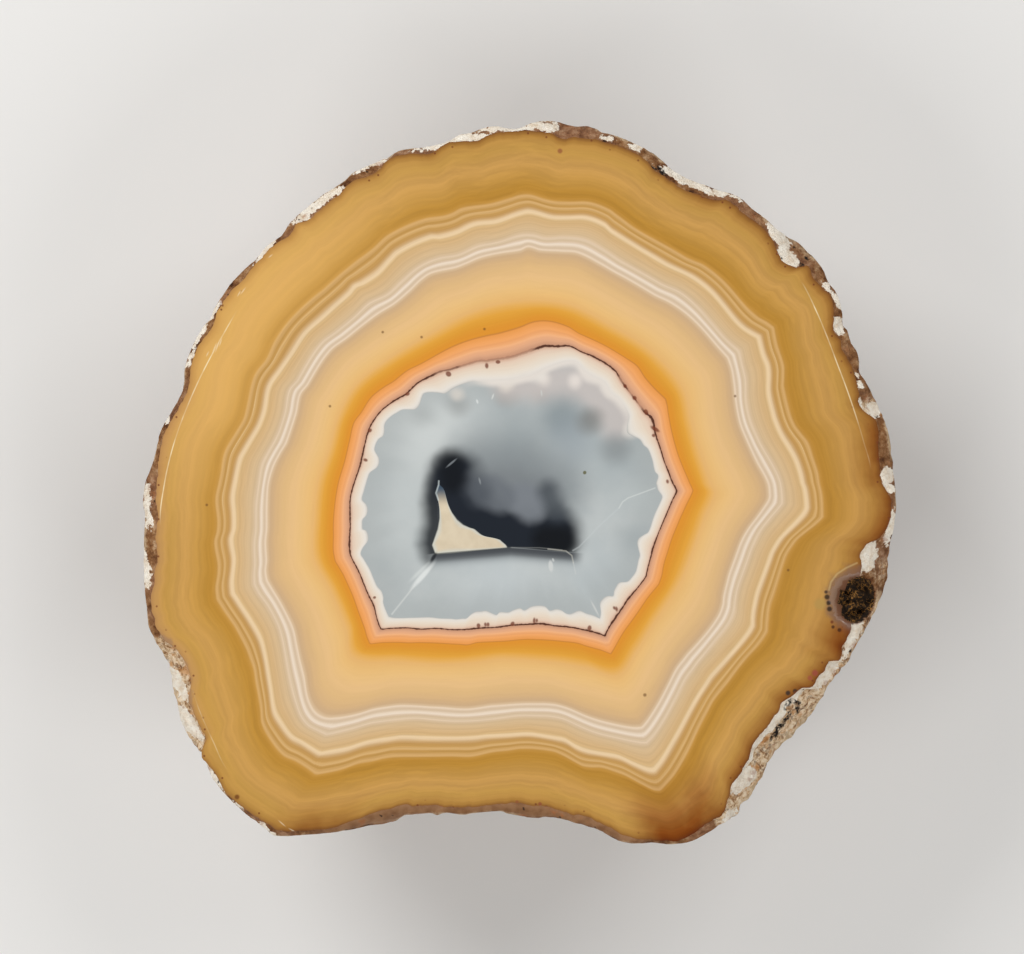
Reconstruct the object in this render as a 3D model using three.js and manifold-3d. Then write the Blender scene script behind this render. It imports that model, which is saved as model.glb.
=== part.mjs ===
// A cut and polished agate nodule: one grown piece of stone, lying on its domed natural
// back with the flat polished cut facing up. Millimetres, +Z up, resting spot at Z = 0.

import * as THREE from 'three';
import { ParametricGeometry } from 'three/addons/geometries/ParametricGeometry.js';
import { SimplexNoise } from 'three/addons/math/SimplexNoise.js';
import { mergeVertices } from 'three/addons/utils/BufferGeometryUtils.js';
import Module from 'manifold-3d';

// Driving dimensions
const NODULE_WIDTH = 90.1;
const NODULE_HEIGHT = 38;
const RESTING_RADIUS = 12;
const BEVEL_WIDTH = 1.5;
const BEVEL_DROP = 0.3;
const FLUSH_CRUST_WIDTH = 1.1;
const FLUSH_CRUST_DROP = 0.35;
const CRUST_SLOPE = 1.15;
const DOME_FULLNESS = 0.84;
const LUMP_HEIGHT = 1.1;
const LUMP_SPACING = 11;
const GRAIN_HEIGHT = 0.5;
const GRAIN_SPACING = 4.5;
const CRUMBLE_SHARE = 0.2;
const CRUMBLE_SPACING = 2.5;

// How finely the surface is divided, around the nodule and from the rim to the resting spot
const COLUMNS = 150;
const CRUST_ROWS = 2;
const DOME_ROWS = 19;

// Both outlines are read off the photograph, as an angle in degrees anticlockwise from its
// right and a distance in its pixels from the middle of the nodule.
const OUTLINE_WIDTH_IN_PIXELS = 757;
const MM_PER_PIXEL = NODULE_WIDTH / OUTLINE_WIDTH_IN_PIXELS;

// The outermost edge of the crust
const RIM = [
  [0, 376], [8, 373], [12, 370], [16, 362], [18, 358], [21, 363], [26, 361], [31, 370],
  [37, 372], [41, 369.5], [45, 362], [52, 361.5], [58, 352], [63, 349], [68, 356],
  [74, 360], [79, 364.5], [85, 365], [91, 355.5], [95, 359], [98, 355], [104, 350],
  [110, 355], [116, 352], [125, 350], [133, 348], [140, 348], [150, 353], [158, 356],
  [164, 351], [170, 361], [176, 367.5], [180, 376], [185, 378.5], [190, 383.5],
  [195, 390.5], [201, 399], [205, 400], [208, 402], [212, 411.5], [217, 421],
  [222, 425], [226, 429.5], [231, 430], [235, 432], [237, 422], [240, 406.5],
  [243, 393], [246, 377], [250, 361], [255, 343], [260, 338], [266, 330], [272, 336.5],
  [277, 340], [281, 351], [285, 371], [290, 384], [294, 396], [299, 398.5],
  [303.5, 401.5], [306, 395], [310, 384], [314, 376], [320, 377], [328, 373.5],
  [335, 376], [341, 382], [345, 383], [349, 378.5], [355, 378],
];

// The inner edge of the crust, where the polished stone of the cut face begins
const FACE_EDGE = [
  [0, 362], [8, 361], [13, 350], [19, 352], [26, 349], [31, 361], [37, 359], [40, 345],
  [46, 352], [54, 350], [58, 339], [64, 337], [69, 347], [77, 351], [83, 347],
  [88, 352], [97, 345], [101, 348], [105, 342], [111, 349], [115, 343], [123, 340],
  [131, 340], [141, 344], [148, 347], [157, 349], [164, 345], [171, 357], [178, 362],
  [187, 366], [194, 376], [201, 391], [207, 381], [213, 396], [219, 405], [222, 421],
  [228, 427], [235, 424], [238, 410], [242, 390], [246, 362], [250, 343], [256, 333],
  [263, 326], [270, 320], [277, 330], [283, 348], [288, 374], [292, 386], [297, 390],
  [302, 386], [306, 367], [311, 352], [317, 346], [321, 342.5], [326, 356], [331, 363],
  [337, 362], [343, 358], [347, 349], [350, 352], [352.5, 366], [356, 371],
];

// Swells and hollows of the natural back: angle around the nodule, angle down the back
// from the rim (0) to the resting spot (90), spread and height in millimetres
const SWELLS = [
  [12, 30, 11, 1.8], [38, 48, 9, -1.6], [68, 26, 10, 1.5], [95, 52, 12, -1.7],
  [118, 24, 9, -1.4], [141, 42, 12, 2.0], [172, 28, 9, -1.5], [190, 55, 10, 1.5],
  [214, 26, 8, -1.6], [232, 46, 11, 1.8], [258, 26, 10, -2.4], [270, 52, 10, -1.8],
  [293, 34, 10, 1.9], [318, 44, 9, -1.8], [335, 26, 8, 1.4], [352, 54, 10, -1.2],
];

// Open gas holes of the crust: angle around, angle down the back, half length and depth
// in millimetres
const GAS_HOLES = [
  [6, 44, 2.6, 1.1], [24, 20, 1.8, 0.9], [47, 33, 2.9, 1.3], [61, 55, 2.0, 1.0],
  [82, 36, 2.2, 1.0], [104, 22, 1.7, 0.9], [127, 58, 2.8, 1.2], [133, 30, 1.9, 0.9],
  [158, 50, 2.3, 1.1], [169, 16, 1.6, 0.9], [198, 38, 3.0, 1.4], [206, 22, 1.8, 0.9],
  [221, 60, 2.2, 1.0], [243, 30, 2.0, 0.9], [262, 44, 2.6, 1.2], [281, 24, 1.8, 0.9],
  [302, 50, 2.7, 1.2], [322, 28, 2.2, 1.1], [340, 46, 2.0, 0.9], [351, 22, 1.7, 0.9],
];
const GAS_HOLE_NARROWNESS = 0.68;

// The large mossy gas hole that opens through the rim of the cut face
const OPEN_HOLE = { angle: 340.8, distance: 357, width: 3.8, length: 4.0, depth: 3.2 };

// How far the wavy rim is evened out lower down the back, in degrees around the nodule
const EVENING_STEP = 6;
const EVENING_REACH = 18;

const FACE_ROWS = 2;
const RIM_ROW = FACE_ROWS + CRUST_ROWS;
const RESTING_ROW = RIM_ROW + DOME_ROWS;
const ROWS = RESTING_ROW + 1;
const RADIANS = Math.PI / 180;

THREE.MathUtils.seededRandom(713);
const noise = new SimplexNoise({ random: () => THREE.MathUtils.seededRandom() });

function roughness(point, spacing) {
  return noise.noise3d(point.x / spacing, point.y / spacing, point.z / spacing);
}

// Distance to a closed outline at an angle, on a smooth curve through its points, in
// millimetres.
function distanceTo(outline, degrees) {
  const angle = THREE.MathUtils.euclideanModulo(degrees, 360);
  const count = outline.length;
  let after = outline.findIndex((point) => point[0] > angle);
  if (after < 0) after = count;
  const point = (index) => {
    const [at, distance] = outline[THREE.MathUtils.euclideanModulo(index, count)];
    return [at + 360 * Math.floor(index / count), distance];
  };
  const [a0, d0] = point(after - 2);
  const [a1, d1] = point(after - 1);
  const [a2, d2] = point(after);
  const [a3, d3] = point(after + 1);
  const span = a2 - a1;
  const slope1 = ((d2 - d0) / (a2 - a0)) * span;
  const slope2 = ((d3 - d1) / (a3 - a1)) * span;
  const t = (angle - a1) / span;
  const rise = d2 - d1;
  const bend = 3 * rise - 2 * slope1 - slope2;
  const twist = slope1 + slope2 - 2 * rise;
  return (d1 + slope1 * t + bend * t * t + twist * t * t * t) * MM_PER_PIXEL;
}

function around(degrees, distance, height) {
  const angle = degrees * RADIANS;
  return new THREE.Vector3(distance * Math.cos(angle), distance * Math.sin(angle), height);
}

// Height of the crust's outermost edge: just under the cut face where the crust is thin,
// and lower where it is broad and slopes away.
function rimHeight(degrees) {
  const width = distanceTo(RIM, degrees) - distanceTo(FACE_EDGE, degrees);
  const broad = Math.max(0, width - FLUSH_CRUST_WIDTH);
  return NODULE_HEIGHT - BEVEL_DROP - FLUSH_CRUST_DROP - CRUST_SLOPE * broad;
}

// The rim without its small waves, which don't run on down the back.
function evenRim(degrees) {
  let sum = 0;
  let count = 0;
  for (let away = -EVENING_REACH; away <= EVENING_REACH; away += EVENING_STEP) {
    sum += distanceTo(RIM, degrees + away);
    count += 1;
  }
  return sum / count;
}

// The smooth back, before its swells: full near the rim and flat at the resting spot.
function smoothBack(degrees, down) {
  const evenness = THREE.MathUtils.smoothstep(down, 4, 40);
  const rim = THREE.MathUtils.lerp(distanceTo(RIM, degrees), evenRim(degrees), evenness);
  const inward = Math.cos(down * RADIANS) ** DOME_FULLNESS;
  const fall = Math.sin(down * RADIANS) ** DOME_FULLNESS;
  const distance = RESTING_RADIUS + (rim - RESTING_RADIUS) * inward;
  return around(degrees, distance, rimHeight(degrees) * (1 - fall));
}

const swells = SWELLS.map(([degrees, down, spread, height]) => ({
  centre: smoothBack(degrees, down),
  spread,
  height,
}));

// The natural back with its swells and small lumps. They fade out at the rim and stay
// within it, so that the outline stays true, and fade out at the flat resting spot.
function back(degrees, down) {
  const point = smoothBack(degrees, down);
  const fade = THREE.MathUtils.smoothstep(down, 0, 9)
    * (1 - THREE.MathUtils.smoothstep(down, 66, 86));
  const room = distanceTo(RIM, degrees) - Math.hypot(point.x, point.y);
  let height = LUMP_HEIGHT * roughness(point, LUMP_SPACING)
    + GRAIN_HEIGHT * roughness(point, GRAIN_SPACING);
  for (const swell of swells) {
    const away = point.distanceTo(swell.centre) / swell.spread;
    height += swell.height * Math.exp(-away * away);
  }
  const outward = point.clone().sub(new THREE.Vector3(0, 0, NODULE_HEIGHT)).normalize();
  return point.addScaledVector(outward, Math.min(height * fade, room));
}

// One point of the stone's surface: a column around it, and a row that runs from the
// middle of the cut face over the rim to the middle of the resting spot.
function surfacePoint(column, row) {
  const degrees = (column * 360) / COLUMNS;
  if (row === 0) return new THREE.Vector3(0, 0, NODULE_HEIGHT);
  const edge = distanceTo(FACE_EDGE, degrees);
  if (row === 1) return around(degrees, edge - BEVEL_WIDTH, NODULE_HEIGHT);
  const edgeHeight = NODULE_HEIGHT - BEVEL_DROP;
  if (row === FACE_ROWS) return around(degrees, edge, edgeHeight);
  if (row <= RIM_ROW) {
    const share = (row - FACE_ROWS) / CRUST_ROWS;
    const rim = distanceTo(RIM, degrees);
    const distance = THREE.MathUtils.lerp(edge, rim, share);
    const lowest = rimHeight(degrees);
    const point = around(
      degrees,
      distance,
      THREE.MathUtils.lerp(edgeHeight, lowest, share ** 1.6),
    );
    const crumbliness = Math.min(GRAIN_HEIGHT, CRUMBLE_SHARE * (edgeHeight - lowest));
    point.z += crumbliness * roughness(point, CRUMBLE_SPACING);
    return point;
  }
  if (row <= RESTING_ROW) return back(degrees, (90 * (row - RIM_ROW)) / DOME_ROWS);
  return new THREE.Vector3(0, 0, 0);
}

const wasm = await Module();
wasm.setup();

// A three.js geometry as a closed solid, for cutting.
function solid(geometry) {
  const bare = geometry.clone();
  bare.deleteAttribute('normal');
  bare.deleteAttribute('uv');
  const merged = mergeVertices(bare, 1e-4);
  return new wasm.Manifold(new wasm.Mesh({
    numProp: 3,
    vertProperties: merged.getAttribute('position').array,
    triVerts: Uint32Array.from(merged.getIndex().array),
  }));
}

// A closed solid back as a three.js geometry.
function geometryOf(cutSolid) {
  const mesh = cutSolid.getMesh();
  const geometry = new THREE.BufferGeometry();
  geometry.setAttribute('position', new THREE.BufferAttribute(mesh.vertProperties, 3));
  geometry.setIndex(new THREE.BufferAttribute(mesh.triVerts, 1));
  return geometry;
}

const uncut = new ParametricGeometry((u, v, target) => {
  const column = Math.round(u * COLUMNS) % COLUMNS;
  const row = THREE.MathUtils.clamp(Math.round((1 - v) * ROWS), 0, ROWS);
  target.copy(surfacePoint(column, row));
}, COLUMNS, ROWS);

let stone = solid(uncut);

for (const [degrees, down, halfLength, depth] of GAS_HOLES) {
  const hole = new THREE.IcosahedronGeometry(1, 1);
  hole.scale(halfLength, halfLength * GAS_HOLE_NARROWNESS, depth);
  hole.rotateZ((degrees + down) * 3 * RADIANS);
  hole.rotateY((90 + down * 0.8) * RADIANS);
  hole.rotateZ(degrees * RADIANS);
  hole.translate(...back(degrees, down).toArray());
  stone = stone.subtract(solid(hole));
}

const openHole = new THREE.IcosahedronGeometry(1, 2);
openHole.scale(OPEN_HOLE.width / 2, OPEN_HOLE.length / 2, OPEN_HOLE.depth);
openHole.rotateZ(OPEN_HOLE.angle * RADIANS);
const holePlace = around(OPEN_HOLE.angle, OPEN_HOLE.distance * MM_PER_PIXEL, NODULE_HEIGHT);
openHole.translate(...holePlace.toArray());
stone = stone.subtract(solid(openHole));

// The frame stands on the middle of the nodule's outer box.
const stoneGeometry = geometryOf(stone);
stoneGeometry.computeBoundingBox();
const middle = stoneGeometry.boundingBox.getCenter(new THREE.Vector3());
stoneGeometry.translate(-middle.x, -middle.y, 0);
stoneGeometry.computeVertexNormals();

const agate = new THREE.Mesh(
  stoneGeometry,
  new THREE.MeshStandardMaterial({ color: 0xc8935a, roughness: 0.35, metalness: 0 }),
);
agate.name = 'agate_nodule';

const part = new THREE.Group();
part.add(agate);

export default part;
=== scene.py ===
import bpy
import math
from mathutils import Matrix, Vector, noise


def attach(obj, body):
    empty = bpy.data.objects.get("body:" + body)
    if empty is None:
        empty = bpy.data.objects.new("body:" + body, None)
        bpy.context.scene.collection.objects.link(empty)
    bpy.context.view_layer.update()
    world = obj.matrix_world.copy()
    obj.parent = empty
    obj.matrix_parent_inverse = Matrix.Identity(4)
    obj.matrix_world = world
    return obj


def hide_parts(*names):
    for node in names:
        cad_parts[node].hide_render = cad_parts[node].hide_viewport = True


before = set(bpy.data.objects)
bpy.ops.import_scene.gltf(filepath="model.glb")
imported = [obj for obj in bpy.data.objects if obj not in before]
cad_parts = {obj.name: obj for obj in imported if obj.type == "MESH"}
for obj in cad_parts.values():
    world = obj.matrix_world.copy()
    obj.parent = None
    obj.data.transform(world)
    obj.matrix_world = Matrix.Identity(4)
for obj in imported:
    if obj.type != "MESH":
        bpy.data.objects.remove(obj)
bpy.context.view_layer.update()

# The half nodule
# One grown stone, cut through and polished: banded chalcedony inside a thin rough crust,
# lying on its domed natural back. Its face is drawn by the real bands' own outlines, and
# the back follows the solid of the frame.
CAD_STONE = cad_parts["agate_nodule"]
MM = 0.001
STONE_WIDTH = 90.1 * MM
STONE_HEIGHT = 38 * MM
RESTING_RADIUS = 12 * MM
# The polish rounds off a little before the crust, which lies a little lower. Crust broader
# than the flush width slopes down and out.
POLISH_DROP = 0.12 * MM
BEVEL_DROP = 0.3 * MM
FLUSH_CRUST_WIDTH = 1.1 * MM
FLUSH_CRUST_DROP = 0.35 * MM
CRUST_SLOPE = 1.15
# The back bulges more than a ball does, and the mesh has this many points around and down it.
DOME_FULLNESS = 0.84
COLUMNS = 900
DOME_ROWS = 72

# The photograph's pixels: its size, the middle of the stone in it, and the stone's width.
PHOTO_WIDTH, PHOTO_HEIGHT = 1024, 954
MIDDLE_X, MIDDLE_Y = 520, 483
STONE_WIDTH_IN_PIXELS = 757
PIXEL = STONE_WIDTH / STONE_WIDTH_IN_PIXELS

# Each line of the face, as read off the photograph: degrees anticlockwise from the
# right, and pixels from the middle of the stone. A pair with a 1 after it is a sharp corner.
RIM = (
    (0, 376), (5, 374), (10, 371.5), (12, 370), (14, 366), (16, 362), (18, 358), (19, 359.5),
    (21, 363), (23, 361), (25, 362.5), (26, 361), (28, 366), (31, 370), (33, 369), (35, 372),
    (39, 371), (41, 369.5), (43, 364.5), (45, 362), (50, 360.5), (52, 361.5), (54, 359),
    (56, 355), (58, 352), (60, 350), (64, 349.5), (66, 354), (70, 359), (76, 361.5),
    (79, 364.5), (81, 362), (85, 365), (88, 361.5), (90, 357), (91, 355.5), (93, 358),
    (95, 359), (98, 355), (100, 354.5), (102, 350.5), (106, 350), (110, 355), (112, 353),
    (115, 352), (118.5, 353), (120, 350), (125, 350), (131, 349), (134, 345), (137, 348),
    (140, 348), (145, 351.5), (150, 353), (152, 351.5), (154, 354.5), (158, 356),
    (161.5, 355), (163, 352), (165, 351), (168, 356), (170, 361), (172, 364.5), (176, 367.5),
    (178, 371), (180, 376), (182, 378), (185, 378.5), (188, 381), (190, 383.5), (193, 388),
    (197, 393), (199, 396), (201, 399), (205, 400), (207, 397.5), (208, 402), (210, 407),
    (213.5, 415), (217, 421), (220, 421), (222.5, 425), (226, 429.5), (229.5, 431),
    (233, 430.5), (235, 432, 1), (236, 427.5), (238, 417), (240, 406.5), (242, 397),
    (244, 387), (246, 377), (248, 370), (250, 361), (251, 352), (252, 350), (255, 343),
    (256, 344), (257, 340), (260, 338), (262, 335), (265, 331), (267, 330), (268, 333),
    (270, 334), (272, 336.5), (276, 338), (278, 342), (281, 351), (283, 358), (285, 371),
    (286, 375), (288, 380), (290, 384), (292, 391), (294, 396), (295, 398), (299, 398.5),
    (302, 401), (303.5, 401.5), (305, 395.5), (306, 395.5), (307, 392), (310, 384),
    (314, 376), (320, 377), (325, 375), (328, 373.5), (330, 374), (332, 376), (337, 377.5),
    (341, 382), (345, 383), (347, 381.5), (349, 378.5), (355, 378), (358, 377),
)
CRUST = (
    (0, 362), (5, 360), (8, 362), (10, 361), (11, 356), (12, 351), (13.5, 349), (15, 351),
    (19, 352), (22, 349), (24, 351), (26, 349), (28, 355), (29, 358), (31, 362), (33, 360),
    (35, 358), (37, 361), (38, 350), (40, 344), (42, 346), (44, 351), (48, 352), (50, 350),
    (52, 351), (54, 350), (55, 345), (57, 341), (59, 338), (61, 337), (63, 337), (65, 339),
    (67, 341), (69, 347), (71, 350), (77, 351), (81, 350), (83, 346), (85, 351), (91, 352),
    (95, 350), (97, 345), (101, 348), (103, 346), (105, 342), (109, 348), (111, 350),
    (113, 347), (115, 343), (117, 343), (119, 345), (121, 342), (123, 340), (129, 338),
    (131, 342), (133, 338), (135, 341), (141, 344), (143, 343), (147, 347), (151, 347),
    (153, 345), (157, 349), (161, 348), (163, 345), (165, 345), (167, 348), (169, 353),
    (171, 357), (173, 360), (177, 362), (182, 364), (185, 364), (187, 366), (190, 369),
    (192, 371), (194, 376), (196, 382), (198, 388), (200, 390), (202, 391), (204, 388),
    (205, 384), (207, 381), (209, 381), (211, 384), (212, 390), (213, 396), (215, 399),
    (217, 402), (219, 405), (220, 416), (221, 420), (224, 421), (226, 427), (229, 427),
    (232, 425), (235, 424, 1), (236, 420), (238, 410), (240, 400), (242, 390), (243, 382),
    (245, 368), (246, 362), (248, 352), (250, 343), (252, 340), (255, 333), (257, 333),
    (260, 329), (263, 326), (266, 322), (270, 320), (272, 323), (275, 325), (277, 330),
    (279, 336), (281, 340), (283, 348), (285, 358), (286, 366), (288, 374), (290, 380),
    (292, 386), (294, 391), (296, 391), (298, 389), (300, 388), (301, 390), (302, 387),
    (303, 380), (304, 375), (305, 369), (307, 365.5), (308, 362), (310, 357), (311, 352),
    (312, 349), (315, 348), (317, 346), (319, 344), (320, 342), (322, 346), (324, 349),
    (325, 356), (327, 355.5), (328, 358), (330, 357.5), (331, 365), (333, 362), (336, 362),
    (338, 357), (341, 354), (344, 352), (346, 352), (348, 348), (350, 352), (351, 362),
    (353, 370), (355, 372), (358, 370),
)
OUTER_GOLD = (
    (0, 299), (2, 297.5), (5, 293.5), (8, 290), (10, 284.5), (12, 280), (15, 278), (20, 280),
    (22, 284), (24, 288), (28, 291), (30, 294), (31.5, 297, 1), (33, 294), (35, 289),
    (38, 286), (45, 286), (50, 284), (52, 281), (54, 279), (62, 277.5), (66, 279), (70, 284),
    (72, 287), (76, 288.5), (80, 284.5), (83, 283), (85, 284), (88, 287.5), (90, 287),
    (92, 284), (96, 280), (102, 280), (104, 277.5), (106, 277), (110, 280), (118, 280),
    (122, 276), (125, 275), (135, 275), (138, 277), (145, 281.5), (150, 282.5), (154, 281.5),
    (157, 285), (159, 285.5), (164, 283), (167, 283), (170, 288), (174, 296), (178, 298.5),
    (180, 300.5), (183, 304), (187, 304), (189, 306), (191, 310.5), (195, 312), (197, 315.5),
    (199, 321), (201, 324, 1), (203, 322), (205, 320), (207, 318.5), (211, 319), (213, 321),
    (215, 324), (217, 330), (219, 336), (221, 343), (223, 352), (226, 357.5), (229, 360),
    (231, 356.5), (233, 355), (235, 355, 1), (236, 349), (238, 337), (240, 323), (242, 314),
    (244, 305), (246, 299), (248, 294.5), (252, 287), (256, 281), (260, 277), (264, 270),
    (268, 266.5), (270, 265), (273, 265.5), (277, 269.5), (279, 275), (281, 283),
    (282.5, 289), (284, 292), (286, 295), (288, 302), (290, 311), (292, 324), (293.5, 334),
    (294.5, 337.5, 1), (296, 334), (298, 329), (302, 316), (306, 303), (310, 293.5),
    (312, 290), (315, 288), (321, 285.5), (327, 288), (329, 288, 1), (331, 283), (333, 279),
    (335, 277), (344, 275), (348, 281), (350, 288.5), (352, 298), (353.5, 304.5, 1),
    (356, 303), (358, 301.5),
)
CREAM_LINE = (
    (0, 283), (2, 281), (5, 277), (8, 271), (10, 267), (12, 264.5), (15, 263), (20, 265),
    (25, 274), (28, 275.5), (31.5, 280, 1), (33, 276), (35, 272), (38, 270), (45, 271),
    (50, 269), (56, 263.5), (60, 263), (64, 264), (70, 268), (72, 272), (76, 273.5),
    (80, 269.5), (83, 268), (88, 272), (90, 270), (95, 263), (100, 263), (104, 259),
    (108, 259), (110, 262), (118, 261.5), (120, 259), (124, 254), (128, 254.5), (130, 257),
    (132, 255.5), (135, 256), (140, 258), (145, 262), (150, 262.5), (155, 265.5), (159, 269),
    (164, 266), (167, 267), (169, 269.5), (173, 277), (175, 281), (180, 285.5), (183, 288),
    (186, 288), (189, 290), (191, 294.5), (195, 296.5), (199, 305), (201, 308, 1),
    (203, 306), (207, 303), (211, 303), (215, 310.5), (219, 322), (223, 336), (225, 339),
    (228, 341.5), (230, 339), (233.5, 337, 1), (235, 328), (237, 317), (239, 304),
    (241, 294.5), (243, 287), (245, 280.5), (249, 273), (253, 267), (257, 262), (260, 258.5),
    (263, 255), (270, 251.5), (273, 252), (278, 258), (280, 261.5), (282, 270), (284, 276.5),
    (288, 286), (290, 292), (292, 303), (294, 314), (295, 317.5, 1), (297, 312),
    (301, 299.5), (305, 288.5), (309, 279.5), (313, 274), (315, 272), (321, 272),
    (327, 273.5), (328.5, 273, 1), (330, 269), (332, 265.5), (336, 261.5), (344, 261.5),
    (346, 263.5), (348, 267), (350, 273), (352, 280), (354, 286.5), (355, 288.5, 1),
    (357, 287), (359, 285),
)
WHITE_OUTER = (
    (0, 260), (2, 257), (5, 251), (8, 245), (10, 242), (15, 238), (20, 240), (25, 248),
    (28, 251), (31, 255, 1), (35, 250.5), (40, 249), (45, 249.5), (50, 248.5), (55, 243.5),
    (65, 243), (70, 247), (75, 251), (80, 249), (84, 245.5), (87, 247.5), (90, 247),
    (95, 241.5), (100, 240), (105, 236), (110, 238.5), (115, 238), (120, 233.5), (125, 230),
    (130, 234), (135, 234), (140, 237), (145, 242.5), (155, 244.5), (158, 248), (163, 245),
    (167, 245.5), (170, 248), (173, 253), (176, 258), (180, 260.5), (185, 264.5), (190, 268),
    (193, 272.5), (197, 277), (199, 281), (201, 284, 1), (203, 283), (206, 280), (210, 280),
    (213, 283.5), (216, 290), (219, 298), (222, 306.5), (225, 315), (227, 320), (229, 321.5),
    (231, 319), (232.5, 317, 1), (234, 307), (236, 295), (238, 283), (240, 275), (242, 268),
    (245, 259.5), (248, 254), (254, 247.5), (260, 241), (266, 235), (270, 232.5), (276, 234),
    (279, 237), (281, 241), (283, 247.5), (287, 261), (291, 273), (295, 286), (296, 288.5, 1),
    (298, 285), (302, 275), (306, 265), (310, 256.5), (313, 253.5), (315, 252), (321, 250.5),
    (326, 251), (329, 249), (331, 245.5), (333, 242.5), (336, 240.5), (343, 240),
    (346, 241.5), (349, 245), (352, 252), (354, 258), (355.5, 262.5, 1), (357, 262),
)
WHITE_INNER = (
    (0, 248), (5, 238), (10, 231.5), (15, 228), (20, 230), (25, 236), (28, 240),
    (31, 242.5, 1), (35, 240), (45, 237.5), (50, 235), (55, 231), (65, 231), (70, 233.5),
    (76, 237.5), (80, 235.5), (85, 234), (88, 236.5), (90, 233), (95, 231), (100, 229),
    (104, 226), (107, 225), (113, 228), (116, 226), (120, 221.5), (125, 219), (130, 221),
    (135, 223), (140, 226), (145, 231.5), (155, 234), (158, 237), (163, 234.5), (170, 237),
    (173, 242), (176, 247), (180, 251.5), (185, 254), (190, 257), (193, 261), (197, 265),
    (199, 269), (201, 271, 1), (206, 268), (210, 268), (213, 270), (216, 276), (219, 283),
    (222, 290.5), (225, 301), (227, 306), (228.5, 307.5), (230, 306), (231, 303, 1),
    (233, 293), (235, 282), (237, 270), (240, 258), (242, 252), (245, 246), (248, 241.5),
    (251, 237.5), (257, 232), (260, 228), (263, 224.5), (270, 221), (276, 222), (279, 224.5),
    (281, 228), (283, 233), (287, 246), (291, 258), (295, 270), (296.5, 273, 1), (298, 270),
    (302, 260.5), (306, 251), (310, 243), (313, 240.5), (315, 239.5), (326, 239),
    (329, 236.5), (331, 233), (334, 230), (337, 228), (343, 228), (346, 229.5), (349, 233.5),
    (352, 240), (354, 244.5), (356, 249), (357, 250, 1),
)
AMBER_EDGE = (
    (0, 185), (10, 178), (20, 178), (30, 184), (45, 182), (60, 178), (75, 181), (90, 178),
    (105, 174), (120, 170), (135, 176), (150, 188), (160, 190), (170, 190), (180, 198),
    (190, 205), (200, 215), (210, 214), (220, 222), (226, 236), (235, 213), (245, 196),
    (255, 182), (265, 173), (280, 178), (290, 192), (297, 211), (305, 200), (315, 189),
    (330, 184), (340, 182), (350, 184), (357, 190),
)
PEACH_EDGE = (
    (0, 170), (5, 164.5), (10, 161), (15, 160), (20, 161), (25, 164), (28, 167),
    (30, 168.5, 1), (35, 165), (40, 164), (45, 166), (50, 164), (55, 162.5), (68, 161),
    (73, 164), (80, 165), (85, 162.5), (90, 156.5), (95, 153), (100, 151.5), (115, 152.5),
    (125, 153.5), (130, 155.5), (135, 159.5), (141, 162.5), (145, 167), (150, 172),
    (156, 174), (160, 177), (166, 176), (173, 177), (180, 182), (187, 187), (193, 192),
    (196, 194.5), (200, 199), (203, 201, 1), (205, 200), (208, 199.5), (214, 202),
    (219, 207.5), (223, 213), (225, 217), (227, 220.5, 1), (229, 212), (231, 205.5),
    (233, 200), (235, 195.5), (238, 188.5), (243, 180), (249, 173), (252, 170.5),
    (255, 165.5), (260, 161.5), (266, 158.5), (270, 157), (274, 157), (281, 160.5),
    (287, 166.5), (290, 171), (292, 176), (294, 181), (296, 186.5), (298, 194, 1),
    (300, 190), (303, 184.5), (306, 180.5), (312, 175.5), (318, 172), (324, 172, 1),
    (327, 169.5), (330, 166), (333, 164), (340, 162), (347, 164), (350, 166), (353, 168.5),
    (356, 172), (357.5, 173.5, 1), (359, 171.5),
)
BROWN_LINE = (
    (0, 153), (5, 148.5), (10, 145.5), (20, 144.5), (25, 147.5), (27, 147), (30, 143.5),
    (40, 142.5), (45, 144), (50, 147.5), (60, 146.5), (65, 145), (70, 146), (75, 142),
    (80, 139.5), (85, 134), (90, 129.5), (95, 126.5), (105, 127), (108, 129), (115, 130.5),
    (122, 134), (125, 137), (130, 140), (135, 143), (142, 145), (145, 148.5), (150, 154),
    (153, 157), (160, 160.5), (167, 160), (173, 161), (176, 162.5), (180, 166), (185, 170.5),
    (191, 173.5), (195, 176), (200, 182), (203, 184.5, 1), (208, 184), (211, 185),
    (217, 189), (220, 191), (222, 194.5), (225, 200), (226.5, 202, 1), (228, 196),
    (230, 189.5), (232, 184), (236, 176.5), (240, 168), (245, 162), (250, 156), (255, 150.5),
    (260, 147), (266, 143), (270, 142), (278, 142.5), (284, 147.5), (290, 154), (294, 161.5),
    (296, 166), (298, 171.5), (299, 175.5, 1), (301, 171), (304, 167), (307, 164),
    (313, 159), (323.5, 157, 1), (326, 154), (329, 151.5), (335, 148), (341, 147.5),
    (347, 149.5), (353, 153), (357, 157.5, 1), (358.5, 155.5),
)
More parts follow.
